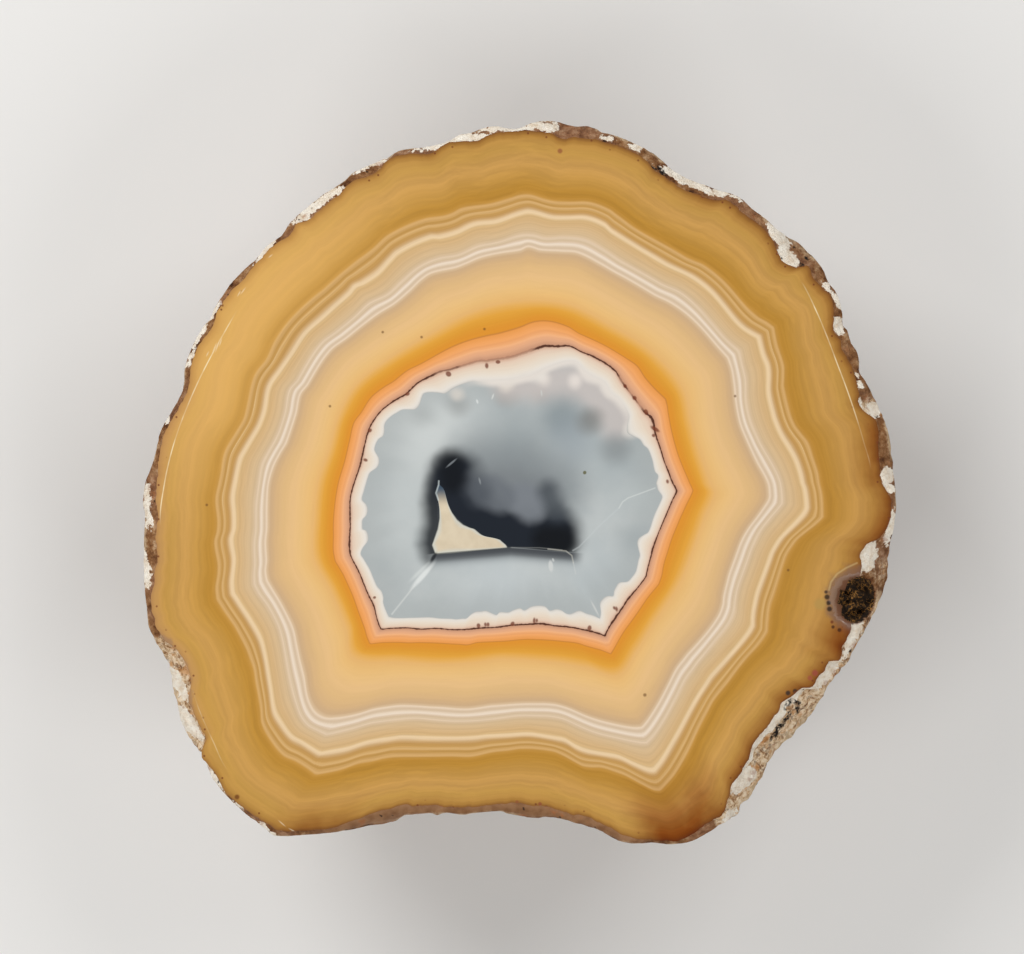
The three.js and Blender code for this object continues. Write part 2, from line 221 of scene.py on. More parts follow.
SCALLOPS = (
    (0, 136), (3, 138), (5, 135), (10, 134), (15, 132), (17, 129), (20, 127), (23, 121),
    (25, 118.5), (28, 121), (32, 128), (40, 129), (45, 127), (50, 130), (55, 128), (60, 128),
    (65, 133), (70, 128), (75, 120), (80, 112), (85, 106), (95, 102), (105, 104), (112, 109),
    (115, 112), (120, 114), (125, 115.5), (130, 116.5), (132, 121), (135, 128), (137, 131),
    (139, 130), (141, 128), (143, 127), (145, 128), (146, 131), (148, 138), (150, 141),
    (152, 144), (155, 147), (157, 147), (159, 145), (161, 144.5), (163, 148), (167, 149),
    (169, 145), (170, 143), (172, 142), (174, 144), (176, 150), (178, 152), (180, 153.5),
    (183, 156), (186, 158.5), (188, 155), (190, 154.5), (192, 157), (193, 161), (195, 163),
    (196.5, 163.5), (197, 161), (199, 160.5), (201, 163), (202.5, 170), (204, 174),
    (206, 173.5), (210, 173), (213, 174.5), (216, 176), (218, 175.5), (220, 178), (221, 181),
    (223, 184), (225.5, 187, 1), (227, 184), (229, 178.5), (231, 173), (235, 163.5),
    (237, 160), (239, 157.5), (243, 152), (245, 150), (247, 147), (248.5, 145), (249.5, 140),
    (251, 136), (253, 134), (255, 132), (257, 132.5), (260, 133.5), (261, 130.5),
    (265, 129.5), (267, 127), (270, 125), (272, 127), (275, 124), (278, 123.5), (281, 125),
    (282, 127), (283, 130.5), (286, 131), (288, 133.5), (289.5, 138), (291, 140),
    (295, 140.5), (297, 146), (299, 151), (300.5, 157, 1), (302, 152), (303.5, 144.5),
    (306, 142), (308, 143), (309.5, 146), (311, 143), (313, 141), (315, 140.5),
    (317.5, 145.5), (320, 146), (322.5, 145.5), (325, 143), (327, 141), (329, 139.5),
    (331, 135), (333, 131.5), (335, 131), (337, 133.5), (339, 137), (345, 137.5),
    (348, 138.5), (351, 140.5), (354, 142.5), (355, 142), (357, 138), (359, 136.5),
)

# The face is numbered in bands: 0 is the middle of the stone, and each line has the next
# whole number, so a band of 5.5 lies halfway between the fifth line and the sixth.
LINES = (
    SCALLOPS, BROWN_LINE, PEACH_EDGE, AMBER_EDGE, WHITE_INNER, WHITE_OUTER, CREAM_LINE,
    OUTER_GOLD, CRUST, RIM,
)
AT_SCALLOPS, AT_BROWN, AT_PEACH, AT_AMBER, AT_WHITE_INNER = 1, 2, 3, 4, 5
AT_WHITE_OUTER, AT_CREAM, AT_OUTER_GOLD, AT_CRUST, AT_RIM = 6, 7, 8, 9, 10
# The rings of points on the face, besides one on each line: in the middle, in the outer gold,
# where the polish rounds off, and in the crust.
MIDDLE_BANDS = (0, 0.25, 0.5, 0.75)
GOLD_BANDS = (8.25, 8.5, 8.6, 8.68, 8.75)
BEVEL_BANDS = (8.8, 8.84, 8.88, 8.92, 8.96)
CRUST_ROWS = 9
RING_BANDS = (
    MIDDLE_BANDS + tuple(range(AT_SCALLOPS, AT_CRUST)) + GOLD_BANDS + BEVEL_BANDS
    + tuple(AT_CRUST + k / CRUST_ROWS for k in range(CRUST_ROWS + 1))
)
RESTING_SHARES = (0.66, 0.33, 0)
RIM_ROW = len(RING_BANDS) - 1
DOME_END = RIM_ROW + DOME_ROWS
ROWS = DOME_END + len(RESTING_SHARES)


def line_distance(line, degrees):
    """Pixels from the middle to a line of the face, smooth but for its corners."""
    count = len(line)
    angle = degrees % 360
    after = next((i for i, point in enumerate(line) if point[0] > angle), count)

    def point(index):
        return line[index % count][0] + 360 * (index // count), line[index % count][1]

    (a0, d0), (a1, d1), (a2, d2), (a3, d3) = (point(after + k) for k in (-2, -1, 0, 1))
    span, rise = a2 - a1, d2 - d1
    leaves_corner = len(line[(after - 1) % count]) == 3
    meets_corner = len(line[after % count]) == 3
    start = rise if leaves_corner else (d2 - d0) / (a2 - a0) * span
    end = rise if meets_corner else (d3 - d1) / (a3 - a1) * span
    t = (angle - a1) / span
    bend, twist = 3 * rise - 2 * start - end, start + end - 2 * rise
    return d1 + start * t + bend * t ** 2 + twist * t ** 3


def smoothstep(value, low, high):
    t = min(1, max(0, (value - low) / (high - low)))
    return t * t * (3 - 2 * t)


def degrees_of(column):
    """Where a column of points lies around the stone."""
    return 360 * column / COLUMNS


def degrees_down(row):
    """How far down the back a ring of points lies: 0 at the rim, 90 at the resting spot."""
    return 90 * (row - RIM_ROW) / DOME_ROWS


distances = [
    [line_distance(line, degrees_of(column)) * PIXEL for column in range(COLUMNS)]
    for line in LINES
]
turns = [math.tau * column / COLUMNS for column in range(COLUMNS)]

# The crust's inner edge is a little ragged.
RAGGED_EDGE = 0.16 * MM
for column, turn in enumerate(turns):
    place = Vector((math.cos(turn), math.sin(turn), 0)) * 28
    distances[AT_CRUST - 1][column] += RAGGED_EDGE * noise.fractal(place, 0.5, 2, 3)
EVENING_STEPS = range(-COLUMNS // 20, COLUMNS // 20 + 1, COLUMNS // 60)
even_rim = [
    sum(distances[-1][(column + away) % COLUMNS] for away in EVENING_STEPS) / len(EVENING_STEPS)
    for column in range(COLUMNS)
]

# The frame stands on the middle of the stone's outer box, a little off its own middle.
rim_x = [distance * math.cos(turn) for distance, turn in zip(distances[-1], turns)]
rim_y = [distance * math.sin(turn) for distance, turn in zip(distances[-1], turns)]
SHIFT_X = -(min(rim_x) + max(rim_x)) / 2
SHIFT_Y = -(min(rim_y) + max(rim_y)) / 2


def reach(band, column):
    """How far a band lies from the middle of the stone."""
    outer = min(int(band), AT_RIM - 1)
    low = distances[outer - 1][column] if outer else 0
    return low + (distances[outer][column] - low) * (band - outer)


def crust_breadth(column):
    return distances[-1][column] - distances[-2][column]


def rim_height(column):
    """The crust's outermost edge is level with the face where thin, and lower where broad."""
    sloping = max(0, crust_breadth(column) - FLUSH_CRUST_WIDTH)
    return STONE_HEIGHT - BEVEL_DROP - FLUSH_CRUST_DROP - CRUST_SLOPE * sloping


CRUST_ROUNDNESS = 1.6
EVENING_DEGREES = (4, 40)


def stone_point(column, row):
    """Distance from the middle and height of a point, from the face down to the resting spot."""
    if row <= RIM_ROW:
        band = RING_BANDS[row]
        edge = STONE_HEIGHT - POLISH_DROP * smoothstep(band, BEVEL_BANDS[0] - 0.02, AT_CRUST + 0.06)
        share = max(0, band - AT_CRUST) ** CRUST_ROUNDNESS
        return reach(band, column), edge + (rim_height(column) - edge) * share
    if row <= DOME_END:
        down = math.radians(degrees_down(row))
        evenness = smoothstep(math.degrees(down), *EVENING_DEGREES)
        rim = distances[-1][column] * (1 - evenness) + even_rim[column] * evenness
        inward = max(0, math.cos(down)) ** DOME_FULLNESS
        fall = math.sin(down) ** DOME_FULLNESS
        return RESTING_RADIUS + (rim - RESTING_RADIUS) * inward, rim_height(column) * (1 - fall)
    return RESTING_RADIUS * RESTING_SHARES[row - DOME_END - 1], 0


# A closed drum whose side is cut into one ring of points for each row of the stone.
bpy.ops.object.select_all(action="DESELECT")
bpy.ops.mesh.primitive_cylinder_add(vertices=COLUMNS, radius=1, depth=2, end_fill_type="TRIFAN")
stone = bpy.context.object
stone.name = "agate_stone_half"
mesh = stone.data
bpy.ops.object.mode_set(mode="EDIT")
bpy.ops.mesh.select_mode(type="EDGE")
bpy.ops.mesh.select_all(action="DESELECT")
bpy.ops.object.mode_set(mode="OBJECT")
for edge in mesh.edges:
    top, bottom = (mesh.vertices[index].co.z for index in edge.vertices)
    edge.select = abs(top - bottom) > 1
bpy.ops.object.mode_set(mode="EDIT")
bpy.ops.mesh.subdivide(number_cuts=ROWS - 3)
bpy.ops.object.mode_set(mode="OBJECT")


def row_of(place):
    if math.hypot(place.x, place.y) < 0.5:
        return 0 if place.z > 0 else ROWS
    return 1 + round((1 - place.z) / 2 * (ROWS - 2))


rows = [row_of(v.co) for v in mesh.vertices]
columns = [round(math.atan2(v.co.y, v.co.x) / math.tau * COLUMNS) % COLUMNS for v in mesh.vertices]
for vertex, row, column in zip(mesh.vertices, rows, columns):
    out, height = stone_point(column, row)
    turn = turns[column]
    vertex.co = (SHIFT_X + out * math.cos(turn), SHIFT_Y + out * math.sin(turn), height)


def band_of(row):
    return RING_BANDS[row] if row <= RIM_ROW else AT_RIM + (row - RIM_ROW) / DOME_ROWS


# The back takes the swells and gas holes of the frame's solid, with its facets evened out.
LONGEST_SHIFT = 4 * MM
WRAP_STARTS, WRAP_ENDS = (0, 5), (84, 89.5)
back = stone.vertex_groups.new(name="back")
for index, row in enumerate(rows):
    if RIM_ROW < row < DOME_END:
        down = degrees_down(row)
        weight = smoothstep(down, *WRAP_STARTS) * (1 - smoothstep(down, *WRAP_ENDS))
        back.add([index], weight, "REPLACE")
wrap = stone.modifiers.new("follow the frame", "SHRINKWRAP")
wrap.target = CAD_STONE
wrap.wrap_method = "PROJECT"
wrap.use_negative_direction = True
wrap.use_positive_direction = True
wrap.project_limit = LONGEST_SHIFT
wrap.vertex_group = back.name
even = stone.modifiers.new("even out facets", "SMOOTH")
even.factor = 0.5
even.iterations = 5
even.vertex_group = back.name
bpy.ops.object.modifier_apply(modifier=wrap.name)
bpy.ops.object.modifier_apply(modifier=even.name)
bpy.ops.object.shade_smooth()

# The polish stops in a sharp edge where the rough crust begins.
crust_row = RING_BANDS.index(AT_CRUST)
for edge in mesh.edges:
    edge.use_edge_sharp = all(rows[index] == crust_row for index in edge.vertices)

# The mossy gas hole that opens through the rim: its place and half sizes in pixels.
HOLE_DEGREES, HOLE_PIXELS = 340.9, 357
HOLE_HALF_ALONG, HOLE_HALF_ACROSS = 25, 21
HOLE_WALL = (0.62, 1.06)
HOLE_DEPTH = 2.3 * MM

# Crumbly broad stretches of crust: from and to in degrees, and how crumbly.
CRUMBLY = ((300, 331, 1), (203, 222, 0.9), (10, 14, 0.6), (343, 352, 0.4), (330, 343, 0.5))


def crumbliness(degrees):
    amount = 0
    for start, end, most in CRUMBLY:
        inside = min(degrees - start, end - degrees)
        amount = max(amount, most * smoothstep(inside, -2, 2))
    return amount


# Where the rind was ground flat with the face, from and to in degrees.
GROUND_RIND = (240, 289)


def ground_share(degrees, band):
    inside = min(degrees - GROUND_RIND[0], GROUND_RIND[1] - degrees)
    return smoothstep(inside, -3, 3) * (1 - smoothstep(band, AT_RIM - 0.22, AT_RIM - 0.05))


def hollow_share(degrees, pixels):
    """How deep inside the mossy hole a place on the face lies, from 0 at its edge to 1."""
    along = math.radians(degrees - HOLE_DEGREES) * HOLE_PIXELS / HOLE_HALF_ALONG
    across = (pixels - HOLE_PIXELS) / HOLE_HALF_ACROSS
    return 1 - smoothstep(math.hypot(along, across), *HOLE_WALL)


GRAIN_SIZE, CHIP_SIZE, PIT_SIZE = 2.4 * MM, 1.3 * MM, 2.8 * MM
PIT_PLACES = Vector((7, 3, 5))


def relief_depth(place, crumbly):
    """How deep the rough crust lies below its general form: grain, chips and small pits."""
    grain = 0.5 + 0.5 * noise.fractal(place / GRAIN_SIZE, 0.7, 2, 4)
    chips = noise.voronoi(place / CHIP_SIZE)[0][0]
    pits = max(0, 0.3 - noise.voronoi(place / PIT_SIZE + PIT_PLACES)[0][0]) / 0.3
    depth = (0.2 + 0.2 * crumbly) * grain + 0.5 * crumbly * chips + 0.35 * pits ** 2
    return max(0, depth) * MM


# The back is a little crumbly all over. Ground rind is nearly level, and the relief ends
# before the resting spot.
BACK_CRUMBLINESS = 0.35
GROUND_LEVELLING = 0.85
RELIEF_ENDS = (78, 88)
normals = [v.normal.copy() for v in mesh.vertices]
moves = []
for vertex, row, column, normal in zip(mesh.vertices, rows, columns, normals):
    band = band_of(row)
    degrees = degrees_of(column)
    crumbly = crumbliness(degrees) if band <= AT_RIM + 0.2 else BACK_CRUMBLINESS
    rough = smoothstep(band, AT_CRUST, AT_CRUST + 0.16)
    rough *= 1 - GROUND_LEVELLING * ground_share(degrees, band)
    if row > RIM_ROW:
        rough *= 1 - smoothstep(degrees_down(row), *RELIEF_ENDS)
    depth = relief_depth(vertex.co, crumbly) * rough if rough else 0
    move = -normal * depth
    if 8.4 < band <= AT_RIM:
        hollow = hollow_share(degrees, reach(band, column) / PIXEL)
        moss = 0.75 + 0.5 * noise.fractal(vertex.co / (0.9 * MM), 0.6, 2, 3)
        move.z -= hollow * HOLE_DEPTH * moss
    moves.append(move)
for vertex, move in zip(mesh.vertices, moves):
    vertex.co += move

# Chalky white patches of the crust: from and to in degrees, and in pixels from the middle.
PALE_PATCHES = (
    (0, 2.5, 362, 376), (10.5, 13, 355, 370), (12, 14, 348, 352), (15.5, 18, 352, 356),
    (25, 28, 349, 361), (28.5, 31.5, 364, 369), (31.5, 33.5, 362, 369), (38, 42, 344, 358),
    (41, 46, 352, 364), (52, 53.5, 358, 361), (54.5, 57, 350, 358), (56.5, 60, 344, 352),
    (60, 66.5, 341, 351), (70, 72, 352, 358), (74.5, 77, 353, 360), (84, 88, 353, 363),
    (87, 96, 352.5, 359), (95, 107.5, 345, 355), (113, 118, 349, 354), (120.5, 131, 341, 350),
    (128, 129.3, 337, 343), (135, 140, 343, 348), (149.5, 152, 349, 353),
    (153, 160, 351, 356), (169.5, 171, 356, 361), (180, 186.5, 371, 378),
    (190, 195.5, 381, 391), (207, 213, 394, 405), (213, 219, 405, 419),
    (220.5, 226, 421, 428), (228, 229.5, 427, 431), (233, 236, 428, 432),
    (301, 304, 392, 401), (304.5, 309.5, 364, 384), (325, 332, 355, 370),
    (332, 340, 362, 373), (345.5, 350.5, 346, 366), (350, 356, 370, 378),
    (358.5, 360, 365, 376),
)
# Chalk along the crust's inner edge: from and to in degrees, and its breadth in pixels.
PALE_STRIPE = (307.5, 327, 7)
PATCH_SOFTNESS = 4


def paleness(degrees, pixels):
    """1 well inside a chalky patch, a half at its edge and 0 outside. Its ends taper."""
    inside = -PATCH_SOFTNESS
    for start, end, inner, outer in PALE_PATCHES:
        if start - 2 < degrees < end + 2:
            along = abs(2 * degrees - start - end) / (end - start)
            across = abs(2 * pixels - inner - outer) / (outer - inner)
            inside = max(inside, (1 - (along ** 3 + across ** 2) ** 0.4) * (outer - inner) / 1.6)
    return 0.5 + 0.5 * min(inside, PATCH_SOFTNESS) / PATCH_SOFTNESS


# Dark rust stains that reach into the face from the crust: from and to in degrees, how many
# pixels they reach in, and how strong they are.
STAINS = (
    (289, 303, 74, 1), (302, 331, 24, 0.75), (330, 338, 46, 1), (337, 350, 30, 0.65),
    (349, 371, 36, 0.85), (11, 60, 18, 0.5), (235, 243, 44, 0.7), (243, 289, 14, 0.2),
    (60, 150, 12, 0.35), (150, 180, 14, 0.25),
)


def stain(degrees, pixels, crust):
    amount = 0
    for start, end, depth, strength in STAINS:
        turned = degrees + 360 if degrees + 355 < end else degrees
        along = smoothstep(min(turned - start, end - turned), -3, 3)
        amount = max(amount, strength * along * smoothstep(pixels, crust - depth, crust + 2))
    return amount


# Where the dark brown line fades out or is broken up: from and to in degrees, and how much
# of it is left.
LINE_GAPS = ((84, 118, 0.25), (31, 35, 0.2), (37.5, 41, 0.2), (44, 47, 0.4), (118, 128, 0.6))


def line_strength(degrees):
    left = 1
    for start, end, rest in LINE_GAPS:
        left = min(left, 1 - (1 - rest) * smoothstep(min(degrees - start, end - degrees), -1.5, 1.5))
    return left


def add_attribute(name, value_of):
    """Stores a value at each point of the stone, worked out from its row and column."""
    values = [value_of(row, column) for row, column in zip(rows, columns)]
    mesh.attributes.new(name, "FLOAT", "POINT").data.foreach_set("value", values)


def pale_of(row, column):
    if not BEVEL_BANDS[0] <= band_of(row) <= AT_RIM + 0.07:
        return 0
    degrees = degrees_of(column)
    pixels = reach(min(band_of(row), AT_RIM - 0.02), column) / PIXEL
    start, end, breadth = PALE_STRIPE
    stripe = 0
    if start < degrees < end:
        from_crust = pixels - distances[-2][column] / PIXEL
        along = abs(2 * degrees - start - end) / (end - start)
        stripe = 1 - smoothstep(from_crust, breadth * (0.9 - along ** 4), breadth * (1.5 - along ** 4))
    fading = 1 - smoothstep(band_of(row), AT_RIM, AT_RIM + 0.07)
    return max(stripe, paleness(degrees, pixels)) * fading


def crumbly_of(row, column):
    if not BEVEL_BANDS[0] <= band_of(row) <= AT_RIM + 0.3:
        return 0
    degrees = degrees_of(column)
    return crumbliness(degrees) * (1 - smoothstep(band_of(row), AT_RIM, AT_RIM + 0.3))


def stain_of(row, column):
    band = band_of(row)
    if not AT_OUTER_GOLD <= band <= AT_RIM:
        return 0
    crust = distances[-2][column] / PIXEL
    return stain(degrees_of(column), reach(band, column) / PIXEL, crust)


def hollow_of(row, column):
    band = band_of(row)
    return hollow_share(degrees_of(column), reach(band, column) / PIXEL) if 8.4 < band <= AT_RIM else 0


# Painted highlights: thin pale lines along the creases where the face starts to round off
# towards the crust, each as degrees and pixels from the middle, along its length.
CREASE_HIGHLIGHTS = (
    # degrees and pixels along it, and how strong it is
    (((148, 331.5), (155, 332.5), (165, 339.5), (175, 350), (180, 355.5), (187, 362)), 0.8),
    (((2, 351), (7, 346), (13, 341.5), (20, 339), (25, 340), (30, 342.5), (36, 346)), 0.8),
    (((211.5, 387), (215, 392.5), (220, 401), (225, 410)), 0.35),
)
NO_CREASE_HIGHLIGHT = 90
CREASE_HIGHLIGHT_END = 4


def crease_highlight_of(row, column):
    """Pixels outwards from the crease that runs at this angle, and far off elsewhere."""
    degrees = degrees_of(column)
    band = band_of(row)
    for points, strength in CREASE_HIGHLIGHTS:
        inside = min(degrees - points[0][0], points[-1][0] - degrees)
        if inside >= 0 and AT_OUTER_GOLD <= band <= AT_CRUST:
            return reach(band, column) / PIXEL - line_distance(points, degrees)
    return NO_CREASE_HIGHLIGHT


def crease_highlight_strength(row, column):
    degrees = degrees_of(column)
    strongest = 0
    for points, strength in CREASE_HIGHLIGHTS:
        inside = min(degrees - points[0][0], points[-1][0] - degrees)
        strongest = max(strongest, strength * smoothstep(inside, 0, CREASE_HIGHLIGHT_END))
    return strongest


# How softly the white scalloped band fades into the clear middle: most at the upper right.
def softness_of(row, column):
    degrees = degrees_of(column)
    return smoothstep(degrees, 22, 40) * (1 - smoothstep(degrees, 104, 124))


add_attribute("band", lambda row, column: band_of(row))
add_attribute("crease", crease_highlight_of)
add_attribute("crease strength", crease_highlight_strength)
add_attribute("soft edge", softness_of)
add_attribute("pale", pale_of)
add_attribute("crumbly", crumbly_of)
add_attribute("stain", stain_of)
add_attribute("hollow", hollow_of)
add_attribute("ground", lambda row, column: ground_share(degrees_of(column), band_of(row)))
add_attribute("line", lambda row, column: line_strength(degrees_of(column)))


class Field:
    """A value or colour that changes over the stone, for writing its shading as plain maths."""

    tree = None

    def __init__(self, socket):
        self.socket = socket

    @classmethod
    def node(cls, kind, settings, values, output=0):
        """Adds any node: its settings first, then the values or links of its sockets."""
        made = cls.tree.nodes.new(kind)
        for name, setting in settings.items():
            if name == "stops":
                ramp = made.color_ramp
                ramp.elements.remove(ramp.elements[1])
                ramp.elements[0].position, ramp.elements[0].color = setting[0]
                for position, color in setting[1:]:
                    ramp.elements.new(position).color = color
            elif name == "curve":
                curve = made.mapping.curves[0]
                curve.points[0].location, curve.points[1].location = setting[0], setting[-1]
                for x, y in setting[1:-1]:
                    curve.points.new(x, y)
                for point in curve.points:
                    point.handle_type = "VECTOR"
                made.mapping.update()
            else:
                setattr(made, name, setting)
        for name, value in values.items():
            if isinstance(value, Field):
                cls.tree.links.new(value.socket, made.inputs[name])
            else:
                made.inputs[name].default_value = value
        return cls(made.outputs[output]) if made.outputs else None

    @classmethod
    def maths(cls, operation, *values):
        return cls.node("ShaderNodeMath", {"operation": operation}, dict(enumerate(values)))

    def __add__(self, other):
        return Field.maths("ADD", self, other)

    def __sub__(self, other):
        return Field.maths("SUBTRACT", self, other)

    def __rsub__(self, other):
        return Field.maths("SUBTRACT", other, self)

    def __mul__(self, other):
        return Field.maths("MULTIPLY", self, other)

    def __gt__(self, other):
        return Field.maths("GREATER_THAN", self, other)

    __radd__ = __add__
    __rmul__ = __mul__


def paint(red, green, blue):
    """A colour as seen on the screen, from 0 to 255, as the shader's own light values."""
    shares = (value / 255 for value in (red, green, blue))
    light = [s / 12.92 if s <= 0.04045 else ((s + 0.055) / 1.055) ** 2.4 for s in shares]
    return (*light, 1)


def mix(share, first, second):
    """The first colour, with a share of the second over it."""
    return Field.node(
        "ShaderNodeMix", {"data_type": "RGBA"}, {0: share, 6: first, 7: second}, output=2
    )


def shade(color, factor, share=1.0):
    """A colour darkened by another, as by a stain or a shadow."""
    settings = {"data_type": "RGBA", "blend_type": "MULTIPLY"}
    return Field.node("ShaderNodeMix", settings, {0: share, 6: color, 7: factor}, output=2)


def fade(value, low, high, start=0.0, end=1.0):
    """A smooth change from start to end while a value goes from low to high."""
    return Field.node(
        "ShaderNodeMapRange", {"interpolation_type": "SMOOTHSTEP"},
        {0: value, 1: low, 2: high, 3: start, 4: end},
    )


def ramp(value, stops):
    """Colours along a value: each stop is where it lies and its colour on the screen."""
    settings = {"stops": [(at, paint(*color)) for at, color in stops]}
    return Field.node("ShaderNodeValToRGB", settings, {0: value})


def vector(operation, *values, output=0):
    return Field.node(
        "ShaderNodeVectorMath", {"operation": operation}, dict(enumerate(values)), output
    )


def attribute(name):
    return Field.node("ShaderNodeAttribute", {"attribute_name": name}, {}, output=2)


def cloud(where, size, detail=3.0, roughness=0.5, across="3D"):
    """Soft noise from 0 to 1 whose spots are about a size across."""
    values = {"Vector": where, "Scale": 1 / size, "Detail": detail, "Roughness": roughness}
    return Field.node("ShaderNodeTexNoise", {"noise_dimensions": across}, values)


def cells(where, size, feature="F1", across="3D"):
    """How far a place lies from the middle, or the edge, of its cell in a loose network."""
    settings = {"feature": feature, "voronoi_dimensions": across}
    return Field.node("ShaderNodeTexVoronoi", settings, {"Vector": where, "Scale": 1 / size})


def start_material(name):
    """Opens a new material of the stone, and tells where a place lies: its band, its place in
    millimetres for grain, and its place on the face in the photograph's pixels."""
    material = bpy.data.materials.new(name)
    material.use_nodes = True
    Field.tree = material.node_tree
    Field.tree.nodes.clear()
    mesh.materials.append(material)
    where = Field.node("ShaderNodeTexCoord", {}, {}, output=3)
    in_mm = Field.node("ShaderNodeVectorMath", {"operation": "SCALE"}, {0: where, 3: 1 / MM})
    spot = vector(
        "MULTIPLY_ADD", where, (1 / PIXEL, -1 / PIXEL, 0),
        (MIDDLE_X - SHIFT_X / PIXEL, MIDDLE_Y + SHIFT_Y / PIXEL, 0),
    )
    return attribute("band"), in_mm, spot


def fuzzy(spot, in_mm, size, amount):
    """Places of the face moved about by up to an amount of pixels, for soft ragged edges."""
    values = {"Vector": in_mm, "Scale": 1 / size, "Detail": 2.0}
    jitter = Field.node("ShaderNodeTexNoise", {"noise_dimensions": "2D"}, values, output=1)
    jitter = vector("SUBTRACT", jitter, (0.5, 0.5, 0.5))
    return vector("MULTIPLY_ADD", jitter, (2 * amount, 2 * amount, 0), spot)


STONE_REFRACTION = 1.54


def finish_material(color, roughness, bump_height=None, bump_depth=0.0, gloss=0.5):
    """A stone surface, with real relief for its bumps where it is rough."""
    values = {
        "Base Color": color, "Roughness": roughness, "IOR": STONE_REFRACTION,
        "Specular IOR Level": gloss,
    }
    if bump_height:
        bump = {"Strength": 0.7, "Distance": bump_depth, "Height": bump_height}
        values["Normal"] = Field.node("ShaderNodeBump", {}, bump)
    surface = Field.node("ShaderNodeBsdfPrincipled", {}, values)
    Field.node("ShaderNodeOutputMaterial", {}, {"Surface": surface})


def blob(at, x, y, radius, core=0.0):
    """1 at a pixel of the face, and 0 from a radius away."""
    away = vector("DISTANCE", at, (x, y, 0), output=1)
    return fade(away, core * radius, radius, 1.0, 0.0)


def segment_distance(at, start, end):
    """Pixels from a straight line between two places of the face."""
    run = Vector((end[0] - start[0], end[1] - start[1], 0))
    offset = vector("SUBTRACT", at, (*start, 0))
    share = vector("DOT_PRODUCT", offset, tuple(run / run.length_squared), output=1)
    share = Field.node("ShaderNodeClamp", {}, {0: share})
    along = Field.node("ShaderNodeVectorMath", {"operation": "SCALE"}, {0: tuple(run), 3: share})
    return vector("DISTANCE", offset, along, output=1)


def streak(at, start, end, width, softness=1.0):
    """1 along a straight mark that is widest halfway and runs out at both its ends."""
    run = Vector((end[0] - start[0], end[1] - start[1]))
    halfway = ((start[0] + end[0]) / 2, (start[1] + end[1]) / 2, 0)
    half_width = width / 2 + softness
    values = {
        0: at, 1: halfway, 2: (0, 0, math.atan2(run.y, run.x)),
        3: (run.length * 0.6, half_width, 1),
    }
    within = Field.node("ShaderNodeMapping", {"vector_type": "TEXTURE"}, values)
    return fade(vector("LENGTH", within, output=1), width / 2 / half_width, 1.0, 1.0, 0.0)


def strongest(marks):
    """The strongest of several marks at each place."""
    most = marks[0]
    for mark in marks[1:]:
        most = Field.maths("MAXIMUM", most, mark)
    return most


def stroke(at, points, width, softness=1.0):
    """1 along a thin line through places of the face, and 0 beside it."""
    nearest = None
    for start, end in zip(points, points[1:]):
        away = segment_distance(at, start, end)
        nearest = away if nearest is None else Field.maths("MINIMUM", nearest, away)
    return fade(nearest, width / 2, width / 2 + softness, 1.0, 0.0)


def ray_length(outline, centre, turn):
    """Pixels from a centre to an outline around it, in one direction."""
    across = Vector((-math.sin(turn), math.cos(turn)))
    ahead = Vector((math.cos(turn), math.sin(turn)))
    points = [Vector(point) - Vector(centre) for point in outline]
    farthest = 0
    for start, end in zip(points, points[1:] + points[:1]):
        low, high = start.dot(across), end.dot(across)
        if low != high and min(low, high) <= 0 <= max(low, high):
            hit = start.lerp(end, low / (low - high)).dot(ahead)
            farthest = max(farthest, hit)
    return farthest


OUTLINE_STEPS = 144
LONGEST = 128


def depth_inside(at, outline, centre):
    """Pixels by which a place of the face lies inside an outline around a centre."""
    curve = []
    for k in range(OUTLINE_STEPS + 1):
        turn = math.tau * (k / OUTLINE_STEPS - 0.5)
        curve.append((k / OUTLINE_STEPS, ray_length(outline, centre, turn) / LONGEST))
    offset = vector("SUBTRACT", at, (*centre, 0))
    parts = Field.node("ShaderNodeSeparateXYZ", {}, {0: offset}, output=0)
    down = Field(parts.socket.node.outputs[1])
    turn = Field.maths("ARCTAN2", down, parts) * (1 / math.tau) + 0.5
    edge = Field.node("ShaderNodeFloatCurve", {"curve": curve}, {"Factor": 1.0, "Value": turn})
    return edge * LONGEST - vector("LENGTH", offset, output=1)


# The clear middle
# Grey-blue chalcedony with soft dark depths and a dark core painted as shade, a cream
# triangle and healed cracks. Its colours are the light that comes back out of the polished stone.
band, in_mm, spot = start_material("clear_middle")
soft_spot = fuzzy(spot, in_mm, 3.5, 3)
SOFT_TONES = (
    # x, y, radius, colour and strength
    (425, 425, 90, (204, 208, 206), 0.8), (385, 510, 60, (196, 201, 200), 0.5),
    (520, 440, 84, (148, 156, 158), 0.7), (615, 450, 74, (158, 167, 169), 0.7),
    (500, 590, 70, (196, 203, 205), 0.5), (600, 575, 50, (184, 192, 194), 0.5),
    (422, 416, 18, (176, 180, 178), 0.5), (458, 404, 19, (158, 160, 158), 0.7),
    (507, 395, 19, (146, 146, 143), 0.75), (540, 394, 15, (160, 158, 154), 0.6),
    (636, 540, 28, (156, 166, 170), 0.5), (640, 496, 24, (184, 191, 190), 0.5),
)
middle = ramp(cloud(in_mm, 2.8), ((0.3, (181, 187, 187)), (0.7, (188, 193, 192))))
for x, y, radius, tone, strength in SOFT_TONES:
    middle = mix(blob(soft_spot, x, y, radius) * strength, middle, paint(*tone))
# Darker grey just inside the scalloped band: painted shade along its edge.
middle = mix(fade(band, 0.7, 1.0) * 0.45, middle, paint(156, 161, 160))

